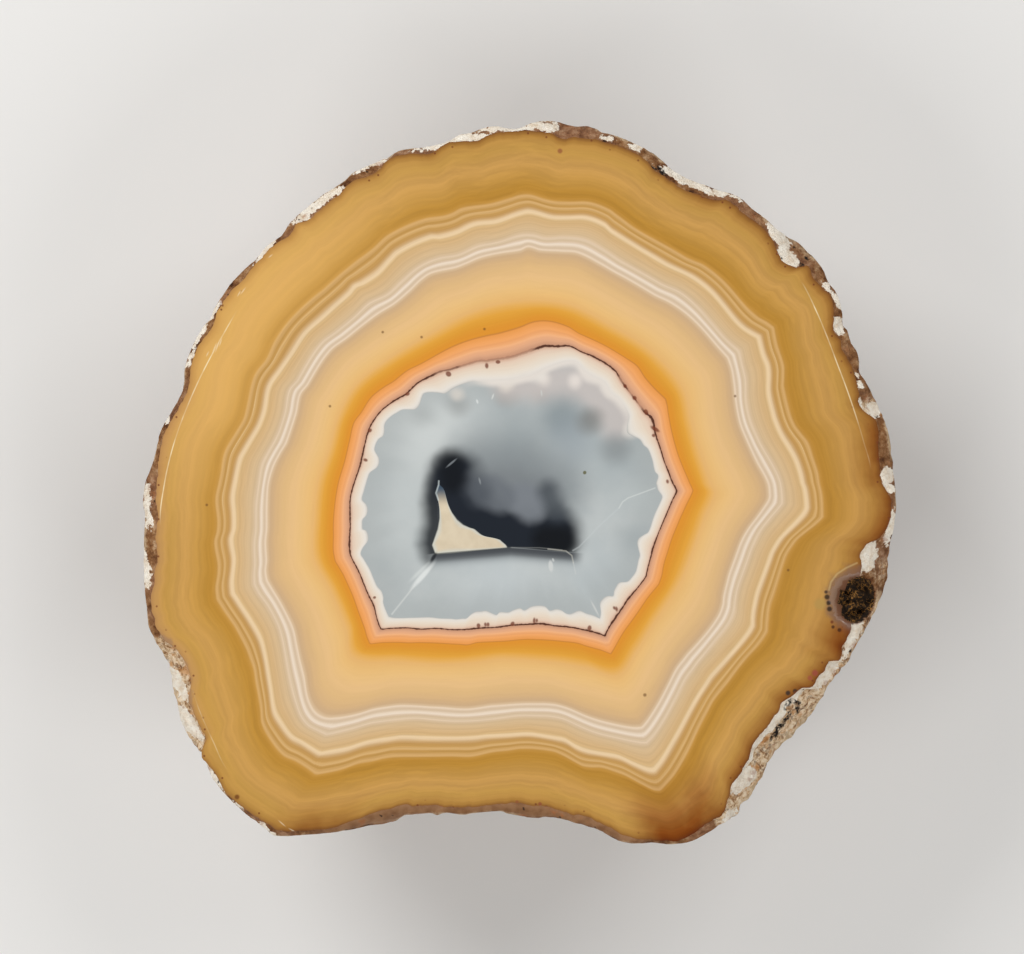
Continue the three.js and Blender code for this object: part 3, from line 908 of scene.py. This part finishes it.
# Pinkish and whitish clouds hang from the scalloped band where it is at its softest, with
# dark spots under them.
PINK_CLOUD = ((512, 382), (545, 382), (580, 383), (604, 398), (618, 420))
middle = mix(stroke(soft_spot, PINK_CLOUD, 14, 24) * 0.8, middle, paint(198, 189, 184))
CLOUDS = (
    # x, y, radius, colour and strength
    (563, 417, 36, (130, 140, 144), 0.75), (572, 441, 38, (148, 157, 163), 0.55),
    (590, 421, 21, (118, 116, 112), 0.65), (616, 449, 24, (130, 134, 135), 0.6),
    (575, 381, 12, (228, 219, 211), 0.85), (592, 373, 14, (230, 222, 214), 0.85),
    (543, 379, 12, (226, 217, 208), 0.8), (535, 371, 17, (232, 226, 217), 0.9),
    (507, 384, 12, (222, 213, 202), 0.85), (608, 388, 11, (226, 218, 210), 0.7),
    (457, 393, 11, (222, 213, 202), 0.6), (632, 431, 12, (230, 224, 215), 0.7),
)
for x, y, radius, tone, strength in CLOUDS:
    middle = mix(blob(soft_spot, x, y, radius, 0.1) * strength, middle, paint(*tone))
middle = mix(fade(band, 0.93, 1.0) * attribute("soft edge"), middle, paint(224, 216, 207))

# The dark core is painted shade for the depth seen into the clear stone, over a thin light line with a
# shadow under it.
across = Field.node("ShaderNodeSeparateXYZ", {}, {0: spot})
down = Field(across.socket.node.outputs[1])
LINE_LEFT = (435.6, 553.8)
LINE_BEND = (511, 547.5)
LINE_RIGHT = (569, 552.2)


def line_height(start, end):
    """The height of the straight line through two places, at each place of the face."""
    slope = (end[1] - start[1]) / (end[0] - start[0])
    return across * slope + (start[1] - start[0] * slope)


under = down - Field.maths("MAXIMUM", line_height(LINE_LEFT, LINE_BEND), line_height(LINE_BEND, LINE_RIGHT))
line_ends = fade(across, 424, 438) * fade(across, 570, 586, 1.0, 0.0)
above_line = 1 - fade(under, -0.8, 0.8) * line_ends
CORE_DEPTH_SHADE = (
    # places along it, width, softness, colour and strength
    (((476, 474), (520, 478), (548, 492)), 26, 44, (124, 130, 133), 0.75),
    # painted shadow along the cream triangle's left side
    (((446, 472), (437, 486), (434, 505), (435, 525), (431, 544), (433, 554)), 3, 19, (36, 40, 44), 0.95),
    (((456, 479), (462, 500), (480, 517), (510, 531), (553, 536)), 28, 25, (32, 37, 45), 1),
    (((484, 480), (518, 482), (540, 491)), 6, 22, (120, 125, 128), 0.75),
    (((523, 499), (530, 505)), 20, 14, (121, 126, 132), 0.9),
    (((490, 492), (500, 497)), 18, 14, (106, 111, 117), 0.85),
    (((474, 486), (480, 494)), 6, 18, (74, 79, 86), 0.7),
    (((549, 492), (557, 512)), 3, 18, (60, 66, 73), 0.75),
    (((450, 464), (453, 480)), 7, 19, (20, 23, 28), 0.92),
    (((546, 539), (562, 541)), 10, 18, (17, 19, 22), 0.85),
)
for points, width, softness, tone, strength in CORE_DEPTH_SHADE:
    here = stroke(soft_spot, points, width, softness) * above_line * strength
    middle = mix(here, middle, paint(*tone))
shadow_tone = ramp(fade(under, 0, 20), (
    (0, (58, 61, 66)), (0.28, (84, 88, 92)), (0.55, (134, 140, 143)), (1, (172, 179, 181)),
))
shadow_here = fade(under, -0.8, 0.8) * fade(under, 3, 20, 0.95, 0.0) * line_ends
middle = mix(shadow_here, middle, shadow_tone)

# The cream triangle, whose thin bluish tip and long side glow a little.
TRIANGLE_CENTRE = (450, 535)
TRIANGLE_OUTLINE = (
    (438.5, 484), (444, 489), (446.5, 500), (449, 507), (452, 513), (457, 520), (463, 525),
    (470, 528), (474, 529), (480.5, 534.5), (487, 537.5), (498, 538.2), (502, 542), (507, 546),
    (512, 547.5), (503, 548), (481, 550), (453, 552.6), (435.6, 554), (432.3, 545),
    (435.5, 536), (438, 529), (439.8, 518), (439.5, 507), (438, 499), (436, 493),
)
triangle_depth = depth_inside(spot, TRIANGLE_OUTLINE, TRIANGLE_CENTRE)
cream = ramp(cloud(in_mm, 1.4), ((0.3, (209, 193, 166)), (0.7, (220, 205, 178))))
cream = mix(fade(triangle_depth, 0, 6, 0.6, 0.0), cream, paint(200, 209, 206))
cream = mix(fade(down, 487, 508, 1.0, 0.0), cream, paint(66, 82, 98))
middle = mix(fade(triangle_depth, -1.0, 1.0), middle, cream)
# Along the line's right end, real crack marks are drawn warm white as a painted glint, and the pale crack
# down to the lower left is drawn as a painted reflection off its face.
CRACKS = (
    # places along it, width, softness, colour and strength
    ((LINE_LEFT, LINE_BEND), 0.2, 1.0, (30, 32, 34), 0.6),
    ((LINE_BEND, (540, 547.8), (562, 550)), 0.1, 1.0, (160, 162, 158), 0.28),
    (((548, 549), (566, 551), (571.8, 555.5), (573.4, 562.8)), 0.1, 1.1, (206, 204, 192), 0.45),
    (((573.4, 562.8), (575.7, 573.9)), 0.1, 1.1, (206, 208, 204), 0.35),
    (((438.8, 481), (438.6, 485), (436, 493), (438.4, 500)), 0.2, 1.2, (206, 216, 216), 0.55),
    (((655, 488), (628, 498), (622.5, 502), (619, 508)), 0.2, 1.1, (214, 218, 214), 0.5),
    (((619, 508), (598, 527), (591, 534.7), (579, 547), (573, 550.5)), 0.1, 1.3, (196, 202, 202), 0.4),
    (((415, 585), (404, 599), (392, 614)), 0.2, 1.4, (212, 214, 210), 0.55),
)
# The two white streaks running down to the lower left are a painted reflection off that crack's face.
STREAKS = (
    # both ends, width, softness, colour and strength
    ((431, 561), (408, 583), 1.0, 2.6, (212, 216, 213), 0.6),
    ((435, 562), (410, 590), 2.2, 2.6, (226, 229, 226), 0.8),
    ((437, 552), (430, 563), 1.6, 2.0, (30, 34, 38), 0.9),
    ((550.2, 560), (551.4, 572), 3.0, 1.6, (208, 210, 207), 0.8),
    ((552.4, 558), (554, 562), 1.0, 1.0, (204, 207, 204), 0.7),
    ((445.5, 468), (457.5, 458), 0.8, 1.0, (140, 146, 150), 0.6),
    ((478.8, 477), (480.8, 485), 0.8, 1.0, (150, 155, 158), 0.6),
    ((476.5, 399), (478, 404), 1.0, 1.0, (222, 225, 222), 0.7),
    ((494, 393), (491.5, 400), 0.8, 1.0, (214, 216, 212), 0.7),
    ((541, 389), (542, 397), 0.6, 1.0, (206, 208, 204), 0.6),
    ((583, 471.8), (586.4, 473.4), 2.4, 1.2, (100, 98, 64), 0.9),
    ((590, 599), (600, 618), 0.6, 1.2, (210, 210, 205), 0.6),
)
for points, width, softness, tone, strength in CRACKS:
    middle = mix(stroke(spot, points, width, softness) * strength, middle, paint(*tone))
for start, end, width, softness, tone, strength in STREAKS:
    middle = mix(streak(spot, start, end, width, softness) * strength, middle, paint(*tone))
polish = cloud(in_mm, 14) * 0.06 + 0.05
finish_material(middle, polish)

# The polished bands
# Fine layers of chalcedony, from the scalloped white one out to the crust, ground flat and
# polished. Each goes from one line of the face to the next, and its stops are shares of the
# way and colours on the screen.
BAND_COLORS = {
    AT_SCALLOPS: (
        (0, (176, 177, 174)), (0.07, (214, 209, 201)), (0.16, (230, 223, 213)),
        (0.375, (231, 219, 203)), (0.625, (229, 210, 189)), (0.8, (226, 200, 178)),
        (0.9, (214, 178, 154)), (1, (196, 146, 118)),
    ),
    AT_BROWN: (
        (0, (196, 146, 118)), (0.09, (206, 154, 122)), (0.2, (221, 166, 129)),
        (0.333, (231, 171, 128)), (0.42, (240, 178, 128)), (0.5, (239, 171, 115)),
        (0.583, (233, 162, 104)), (0.667, (241, 167, 102)), (0.8, (236, 160, 91)),
        (0.93, (232, 155, 80)), (0.975, (200, 130, 62)), (1, (208, 137, 56)),
    ),
    AT_PEACH: (
        (0, (208, 137, 56)), (0.04, (222, 147, 50)), (0.167, (221, 146, 50)),
        (0.5, (221, 154, 54)), (0.75, (225, 162, 63)), (1, (228, 173, 90)),
    ),
    AT_AMBER: (
        (0, (228, 173, 90)), (0.083, (229, 180, 112)), (0.2, (232, 187, 120)),
        (0.333, (231, 189, 127)), (0.5, (230, 189, 133)), (0.667, (223, 184, 129)),
        (0.82, (214, 177, 129)), (0.93, (205, 172, 133)), (0.98, (218, 190, 155)),
        (1, (232, 208, 180)),
    ),
    AT_WHITE_INNER: (
        (0, (233, 210, 183)), (0.06, (230, 207, 180)), (0.2, (214, 189, 160)),
        (0.3, (214, 191, 163)), (0.44, (234, 214, 190)), (0.55, (238, 220, 199)),
        (0.66, (222, 198, 171)), (0.78, (211, 186, 154)), (0.9, (219, 195, 163)),
        (1, (229, 204, 174)),
    ),
    AT_WHITE_OUTER: (
        (0, (229, 204, 174)), (0.1, (216, 189, 154)), (0.2, (214, 185, 145)),
        (0.4, (216, 184, 140)), (0.7, (214, 178, 128)), (0.84, (216, 181, 130)),
        (0.92, (232, 202, 158)), (1, (236, 207, 166)),
    ),
    AT_CREAM: (
        (0, (236, 207, 166)), (0.07, (230, 199, 157)), (0.2, (207, 168, 116)),
        (0.32, (197, 152, 90)), (0.45, (201, 156, 90)), (0.56, (214, 172, 112)),
        (0.62, (219, 178, 118)), (0.7, (200, 153, 86)), (0.78, (194, 149, 82)),
        (0.9, (212, 168, 106)), (1, (218, 174, 112)),
    ),
    AT_OUTER_GOLD: (
        (0, (218, 174, 112)), (0.03, (194, 144, 68)), (0.083, (188, 137, 55)),
        (0.167, (188, 138, 56)), (0.333, (198, 149, 72)), (0.5, (205, 156, 84)),
        (0.583, (201, 153, 83)), (0.75, (197, 151, 76)), (0.875, (193, 146, 74)),
        (0.94, (181, 134, 64)), (1, (146, 100, 50)),
    ),
}
FINE_LINES_PER_BAND = 13
band, in_mm, spot = start_material("polished_bands")
fuzzy_spot = fuzzy(spot, in_mm, 1.1, 5)
face = None
for line, stops in BAND_COLORS.items():
    layer = ramp(band - line, stops)
    face = mix(band > line, face, layer) if face else layer

# At the upper right the white scalloped band starts softly.
soft_start = fade(band, AT_SCALLOPS, AT_SCALLOPS + 0.3, 1.0, 0.0) * attribute("soft edge")
face = mix(soft_start, face, paint(226, 218, 209))

# Very faint fine banding, and the broad changes in tone from side to side.
lines_at = Field.node("ShaderNodeCombineXYZ", {}, {
    0: band * FINE_LINES_PER_BAND, 1: cloud(in_mm, 16, across="2D") * 5.0, 2: 0.0,
})
fine_share = fade(band, AT_AMBER, AT_OUTER_GOLD + 0.2, 0.12, 0.5)
fine_tone = ramp(cloud(lines_at, 1.0, 3.0, 0.6, "2D"), ((0.3, (222, 222, 222)), (0.7, (255, 255, 255))))
face = shade(face, fine_tone, share=fine_share)
golden = band > AT_OUTER_GOLD
golden_outwards = fade(band, AT_OUTER_GOLD, AT_OUTER_GOLD + 0.3, 0.4, 1.0) * golden
face = mix(golden_outwards * blob(spot, 250, 330, 280, 0.1) * 0.5, face, paint(240, 190, 112))
face = mix(golden_outwards * blob(spot, 200, 690, 190, 0.1) * 0.12, face, paint(226, 174, 86))
face = mix(golden * blob(spot, 880, 560, 280, 0.1) * 0.22, face, paint(170, 122, 54))
paler_edge = fade(band, AT_CRUST - 0.22, AT_CRUST - 0.04) * blob(spot, 150, 560, 230, 0.5)
face = mix(paler_edge * 0.4, face, paint(204, 158, 108))
MAUVE_RIM = ((163, 640), (184, 671), (188, 716))
face = mix(stroke(fuzzy_spot, MAUVE_RIM, 6, 5) * 0.6, face, paint(150, 118, 94))

# The thin dark brown line just outside the white band, and the fine mineral ticks on it.
line_away = Field.maths("ABSOLUTE", band - (AT_BROWN - 0.02))
fine_grain = cloud(in_mm, 0.4, 2.0, across="2D")
line_here = fade(line_away + (fine_grain - 0.5) * 0.08, 0.025, 0.075, 1.0, 0.0)
face = mix(line_here * attribute("line") * 0.95, face, paint(74, 38, 26))
TICKS = (
    # both its ends, and its width
    ((446, 372), (451, 376), 2.2), ((486.5, 362.5), (487, 369), 1.2), ((498, 360), (498, 364), 2.0),
    ((405, 395), (410, 393), 1.2), ((368, 432), (372, 429), 1.2), ((363, 459), (368, 461), 1.0),
    ((650, 426), (660, 432), 1.4), ((652, 434), (655, 437), 1.0), ((645, 409), (647, 415), 1.6),
    ((633, 396), (636, 400), 1.6), ((624, 384), (626, 388), 1.2), ((478, 623), (479, 628), 1.4),
    ((485, 622), (486, 627), 0.8), ((488, 622), (488, 627), 1.0), ((511, 626), (514, 621.5), 1.4),
    ((534.5, 617), (534, 624), 0.8), ((537, 618), (536.5, 623), 0.6), ((590, 625), (589, 631), 1.6),
    ((613, 606), (616, 610), 0.8), ((616, 606), (617, 612), 0.8), ((374, 596), (375, 599), 1.0),
    ((667, 479), (668, 484), 0.8),
)


def polar(degrees, pixels):
    """The photograph's pixel at an angle and a distance from the middle of the stone."""
    turn = math.radians(degrees)
    return MIDDLE_X + pixels * math.cos(turn), MIDDLE_Y - pixels * math.sin(turn)


ticks = strongest([streak(spot, start, end, width * 1.6, 1.5) for start, end, width in TICKS])
face = mix(ticks * 0.85, face, paint(116, 60, 40))
SPECKS = (
    (132.3, 204, 2), (124, 176, 2), (158, 205, 2), (184, 314, 2), (300.5, 246, 2.6),
    (22, 232, 2), (342, 282, 2), (103, 158, 2),
)
specks = strongest([
    blob(spot, *polar(degrees, pixels), radius, 0.3) for degrees, pixels, radius in SPECKS
])
face = mix(specks * 0.7, face, paint(110, 74, 40))

# The painted highlights along the creases in the polish.
crease_highlight_away = Field.maths("ABSOLUTE", attribute("crease"))
glint = fade(cloud(in_mm, 3, 2.0, across="2D"), 0.3, 0.6, 0.3, 1.0) * attribute("crease strength")
face = mix(fade(crease_highlight_away, 0.1, 0.95, 1.0, 0.0) * glint, face, paint(250, 232, 190))

# Rust stains, and the grey halo around the gas hole with its black spots.
rusty = attribute("stain") * fade(cloud(in_mm, 5, 3.0, across="2D"), 0.2, 0.6, 0.6, 1.0)
face = shade(face, paint(172, 114, 52), share=rusty)
HALO = (855, 599)
HALO_SQUEEZE = (1.08, 1, 0)
from_halo = vector("MULTIPLY", vector("SUBTRACT", fuzzy_spot, (*HALO, 0)), HALO_SQUEEZE)
halo_away = vector("LENGTH", from_halo, output=1)
face = mix(fade(halo_away, 25, 38, 1.0, 0.0) * 0.85, face, paint(120, 92, 78))
HALO_ARC = ((829, 590), (831, 582), (837, 574), (846, 568), (857, 563))
face = mix(stroke(spot, HALO_ARC, 0.3, 1.4) * 0.3, face, paint(224, 198, 140))
SPOTS = (
    # x, y, radius and colour
    (827, 597, 3.6, (30, 24, 24)), (828.5, 603, 3.2, (30, 24, 24)), (829.5, 609, 3.6, (34, 26, 26)),
    (826, 592, 2.4, (60, 46, 40)), (832, 622, 2.2, (110, 56, 34)), (833, 627, 2.4, (70, 40, 26)),
    (839.5, 630, 2.8, (60, 34, 22)), (820, 604, 8, (178, 142, 78)), (788, 693, 3.4, (40, 38, 40)),
    (795, 691, 3, (52, 40, 34)), (815, 673, 4.4, (150, 74, 58)), (810, 678, 3.4, (156, 82, 60)),
    (560, 151, 3.4, (150, 92, 56)), (437, 148, 3, (160, 100, 60)), (517, 802, 2.4, (140, 84, 50)),
    (540, 804, 2.6, (140, 78, 50)), (546, 807, 2.2, (120, 70, 44)), (431, 807, 2.2, (140, 70, 46)),
    (441, 808, 2.6, (178, 90, 70)), (405, 807, 3, (170, 108, 70)), (237, 797, 3.4, (110, 64, 30)),
)
for x, y, radius, tone in SPOTS:
    face = mix(blob(spot, x, y, radius, 0.4) * 0.85, face, paint(*tone))

# Tiny rusty pits are strewn along the crust, in a few of the cells of a loose network.
PITLESS_SHARE = 0.72
pit_away = cells(in_mm, 1.1, across="2D")
pit_draw = Field.node("ShaderNodeSeparateColor", {}, {0: Field(pit_away.socket.node.outputs[1])})
tiny_pits = fade(pit_away, 0.08, 0.15, 1.0, 0.0) * (pit_draw > PITLESS_SHARE)
tiny_pits = tiny_pits * fade(band, AT_CRUST - 0.14, AT_CRUST - 0.06)
face = mix(tiny_pits * 0.8, face, paint(112, 58, 34))

# Short whitish scratches in the polish.
SCRATCHES = (
    ((237, 297), (241, 290)), ((240, 295), (246, 287)), ((212, 354), (217, 342)),
    ((215, 353), (220, 339)), ((219, 347), (222, 338)), ((206, 357), (209, 351)),
    ((268, 258), (273, 254)), ((278, 820), (286, 827)), ((288, 828), (297, 833)),
)
scratches = strongest([streak(spot, start, end, 0.3, 0.8) for start, end in SCRATCHES])
face = mix(scratches * 0.4, face, paint(248, 232, 200))

# The edge of the mossy gas hole is rusty and matt.
hollow = attribute("hollow")
mossy = fade(hollow, 0.0, 0.03)
hole_edge = fade(hollow + (fine_grain - 0.5) * 0.3, 0.02, 0.16) * mossy
face = mix(hole_edge * 0.85, face, paint(112, 66, 34))
matt_edge = fade(band, AT_CRUST - 0.1, AT_CRUST - 0.02) * 0.2
matt_edge = Field.maths("MAXIMUM", matt_edge, fade(halo_away, 24, 30, 0.7, 0.0))
polish = cloud(in_mm, 14, 1.0, across="2D") * 0.06 + 0.05 + mossy * 0.75
finish_material(face, Field.maths("MAXIMUM", polish, matt_edge))

# The crust and the natural back
# A thin mauve-brown rind with a crumbly cream matrix where it is broad, chalky patches, rust
# and small dark pits, as the nodule came out of its rock.
band, in_mm, spot = start_material("rough_rind")
rind = ramp(cloud(in_mm, 1.2, 7.0, 0.65), (
    (0.3, (66, 36, 16)), (0.4, (108, 66, 34)), (0.5, (140, 96, 58)), (0.6, (170, 130, 92)),
    (0.72, (208, 176, 140)),
))
mauve = ramp(cloud(in_mm, 1.0, 6.0, 0.65), (
    (0.3, (100, 60, 36)), (0.5, (148, 104, 72)), (0.7, (188, 150, 118)),
))
rind = mix(fade(cloud(in_mm, 5, 3.0), 0.46, 0.6), rind, mauve)
ground_tone = ramp(cloud(in_mm, 1.2, 4.0), ((0.35, (126, 86, 54)), (0.65, (150, 110, 76))))
rind = mix(attribute("ground"), rind, ground_tone)
ragged = cloud(in_mm, 1.2, 5.0, 0.65) - 0.5
fine_ragged = cloud(in_mm, 0.4, 3.0, 0.6) - 0.5

# Where it is broad the crust is a crumbly cream and tan mass, with painted shade in the gaps between its
# lumps.
bend = Field.node("ShaderNodeTexNoise", {}, {"Vector": in_mm, "Scale": 0.9, "Detail": 4.0}, output=1)
bent = vector("MULTIPLY_ADD", bend, (1.6, 1.6, 1.6), in_mm)
crumb = ramp(cloud(bent, 0.7, 7.0, 0.72), (
    (0.34, (92, 56, 30)), (0.41, (164, 120, 80)), (0.48, (212, 178, 138)), (0.56, (238, 214, 182)),
    (0.72, (252, 238, 216)),
))
crumb = mix(fade(cloud(in_mm, 1.7, 4.0), 0.54, 0.64) * 0.6, crumb, paint(206, 142, 78))
crevice_shade = fade(cells(bent, 1.3, "DISTANCE_TO_EDGE"), 0.02, 0.16, 1.0, 0.0) * fade(ragged, -0.04, 0.12)
crumb = mix(crevice_shade * 0.7, crumb, paint(92, 54, 28))
on_back = fade(band, AT_RIM, AT_RIM + 0.1)
crumbly = attribute("crumbly") + ragged * 0.9 + (cloud(in_mm, 7, 4.0) - 0.5) * on_back * 3
crust = mix(fade(crumbly, 0.35, 0.55), rind, crumb)
cream_rim = fade(band + ragged * 0.9, AT_RIM - 0.3, AT_RIM) * fade(cloud(in_mm, 3, 3.0), 0.46, 0.6)
crust = mix(cream_rim * 0.6, crust, paint(222, 196, 160))
chalk = ramp(cloud(in_mm, 0.9, 5.0, 0.6), (
    (0.3, (226, 205, 178)), (0.5, (246, 234, 216)), (0.7, (253, 246, 232)),
))
back_chalk = fade(cloud(in_mm, 6, 7.0, 0.68), 0.57, 0.6) * on_back
pale_here = fade(attribute("pale") + ragged * 1.7 + fine_ragged * 0.9, 0.42, 0.52)
pale_here = pale_here * fade(attribute("pale"), 0.02, 0.2)
crust = mix(Field.maths("MAXIMUM", pale_here, back_chalk), crust, chalk)
rust = fade(cloud(in_mm, 2.4, 5.0, 0.6), 0.6, 0.68) * 0.5
crust = mix(rust, crust, paint(158, 88, 38))

# Small pits, in some of the cells of a loose network only.
pit_away = cells(bent, 1.4)
pit_draw = Field.node("ShaderNodeSeparateColor", {}, {0: Field(pit_away.socket.node.outputs[1])})
pits = fade(pit_away, 0.1, 0.19, 1.0, 0.0) * (pit_draw > 0.66)
crust = mix(pits * 0.85, crust, paint(40, 24, 16))
BLACK_MARKS = (
    # both ends, and its width
    ((784, 711), (791, 698), 5), ((788, 700), (801, 704), 4.4), ((800, 700), (797, 716), 3.6),
    ((792, 711), (780, 730), 5.4), ((784, 720), (770, 742), 4.6), ((779, 730), (776, 741), 3.4),
    ((655, 166), (667, 176), 6), ((649, 166), (656, 169), 3), ((199.5, 384), (202, 390), 3.4),
    ((800, 262), (804, 269), 2.6), ((806, 256), (809, 260), 2.4),
)
mark_spot = fuzzy(spot, in_mm, 0.7, 2.6)
facing_up = fade(band, AT_RIM - 0.02, AT_RIM + 0.03, 1.0, 0.0)
for start, end, width in BLACK_MARKS:
    here = streak(mark_spot, start, end, width * 0.7, 1.6) * facing_up
    crust = mix(here * fade(fine_ragged, -0.12, 0.04), crust, paint(24, 14, 8))

# The dark tangled filling of the gas hole: golden brown threads on black.
hollow = attribute("hollow")
moss_ragged = (cloud(in_mm, 0.7, 4.0, 0.7) - 0.5) * 0.9
tangle = Field.node("ShaderNodeTexNoise", {}, {"Vector": in_mm, "Scale": 1.3, "Detail": 3.0}, output=1)
tangle = vector("MULTIPLY_ADD", tangle, (1.6, 1.6, 1.6), in_mm)
moss = ramp(cloud(in_mm, 0.4, 5.0, 0.7), ((0.35, (12, 8, 4)), (0.6, (50, 33, 17)), (0.75, (96, 66, 32))))
threads = fade(cells(tangle, 0.62, "DISTANCE_TO_EDGE"), 0.02, 0.1, 1.0, 0.0)
threads = threads * fade(cloud(in_mm, 0.8, 3.0), 0.42, 0.6)
moss = mix(threads * 0.85, moss, paint(176, 124, 60))
hole_edge = fade(hollow + moss_ragged * 0.5, 0.02, 0.16) * fade(hollow, 0.0, 0.03)
crust = mix(hole_edge * 0.85, crust, paint(112, 66, 34))
moss_here = fade(hollow + moss_ragged, 0.12, 0.26) * fade(hollow, 0.03, 0.08)
crust = mix(moss_here, crust, moss)
roughness = cloud(in_mm, 2.0) * 0.2 + 0.7 - attribute("ground") * 0.35
grain = cloud(in_mm, 0.6, 5.0, 0.68)
height = mix(attribute("ground") * 0.9, grain, paint(188, 188, 188))
finish_material(crust, roughness, height, 0.7 * MM, 0.2)

# Each ring of faces takes the finish of the stretch it lies in. The filling of the gas hole
# is as rough as the crust.
MIDDLE, BANDS, RIND = range(3)
ROUGH_HOLLOW = 0.08
for polygon in mesh.polygons:
    outermost = max(band_of(rows[index]) for index in polygon.vertices)
    finish = MIDDLE if outermost <= AT_SCALLOPS else BANDS if outermost <= AT_CRUST else RIND
    if finish == BANDS and all(hollow_of(rows[k], columns[k]) > ROUGH_HOLLOW for k in polygon.vertices):
        finish = RIND
    polygon.material_index = finish

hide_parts("agate_nodule")
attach(stone, "root")

# The pale floor
# A plain sheet that the stone rests on. It is a stage and no part of the stone.
FLOOR_SIZE = 3.0
FLOOR_COLOR = (0.8, 0.79, 0.77, 1)
bpy.ops.object.select_all(action="DESELECT")
bpy.ops.mesh.primitive_plane_add(size=FLOOR_SIZE)
floor = bpy.context.object
floor.name = "pale_floor"
floor_material = bpy.data.materials.new("pale_floor")
floor_material.use_nodes = True
floor_shader = floor_material.node_tree.nodes["Principled BSDF"]
floor_shader.inputs["Base Color"].default_value = FLOOR_COLOR
floor_shader.inputs["Roughness"].default_value = 0.9
floor.data.materials.append(floor_material)

# The studio light
# Large soft lamps all around, lower than the camera, so that the polished face mirrors none
# of them. The one at the upper left is the strongest.
LAMPS = (
    # degrees around, degrees up, watts
    (135, 38, 2.0), (45, 45, 1.155), (225, 45, 1.31), (315, 45, 1.08),
)
LAMP_DISTANCE = 0.6
LAMP_SIZE = 0.3
SKY_STRENGTH = 0.1
for degrees, up, watts in LAMPS:
    turn, rise = math.radians(degrees), math.radians(up)
    towards = Vector((
        math.cos(turn) * math.cos(rise), math.sin(turn) * math.cos(rise), math.sin(rise),
    ))
    light = bpy.data.lights.new(f"soft_lamp_{degrees}", "AREA")
    light.energy = watts
    light.size = LAMP_SIZE
    lamp = bpy.data.objects.new(light.name, light)
    lamp.location = towards * LAMP_DISTANCE + Vector((0, 0, STONE_HEIGHT))
    lamp.rotation_euler = towards.to_track_quat("Z", "Y").to_euler()
    bpy.context.scene.collection.objects.link(lamp)
world = bpy.data.worlds.new("studio")
world.use_nodes = True
world.node_tree.nodes["Background"].inputs["Color"].default_value = (1, 1, 1, 1)
world.node_tree.nodes["Background"].inputs["Strength"].default_value = SKY_STRENGTH
bpy.context.scene.world = world
bpy.context.scene.view_settings.view_transform = "Standard"

# The camera
# Straight above the cut face, as the photograph sees it, from far enough for a long lens.
LENS, SENSOR = 200, 36
view_width = PHOTO_WIDTH * PIXEL
camera_data = bpy.data.cameras.new("camera")
camera_data.lens = LENS
camera_data.sensor_width = SENSOR
camera_data.clip_start = 0.01
camera = bpy.data.objects.new("camera", camera_data)
camera.location = (
    SHIFT_X + (PHOTO_WIDTH / 2 - MIDDLE_X) * PIXEL,
    SHIFT_Y + (MIDDLE_Y - PHOTO_HEIGHT / 2) * PIXEL,
    STONE_HEIGHT + view_width * LENS / SENSOR,
)
bpy.context.scene.collection.objects.link(camera)
bpy.context.scene.camera = camera
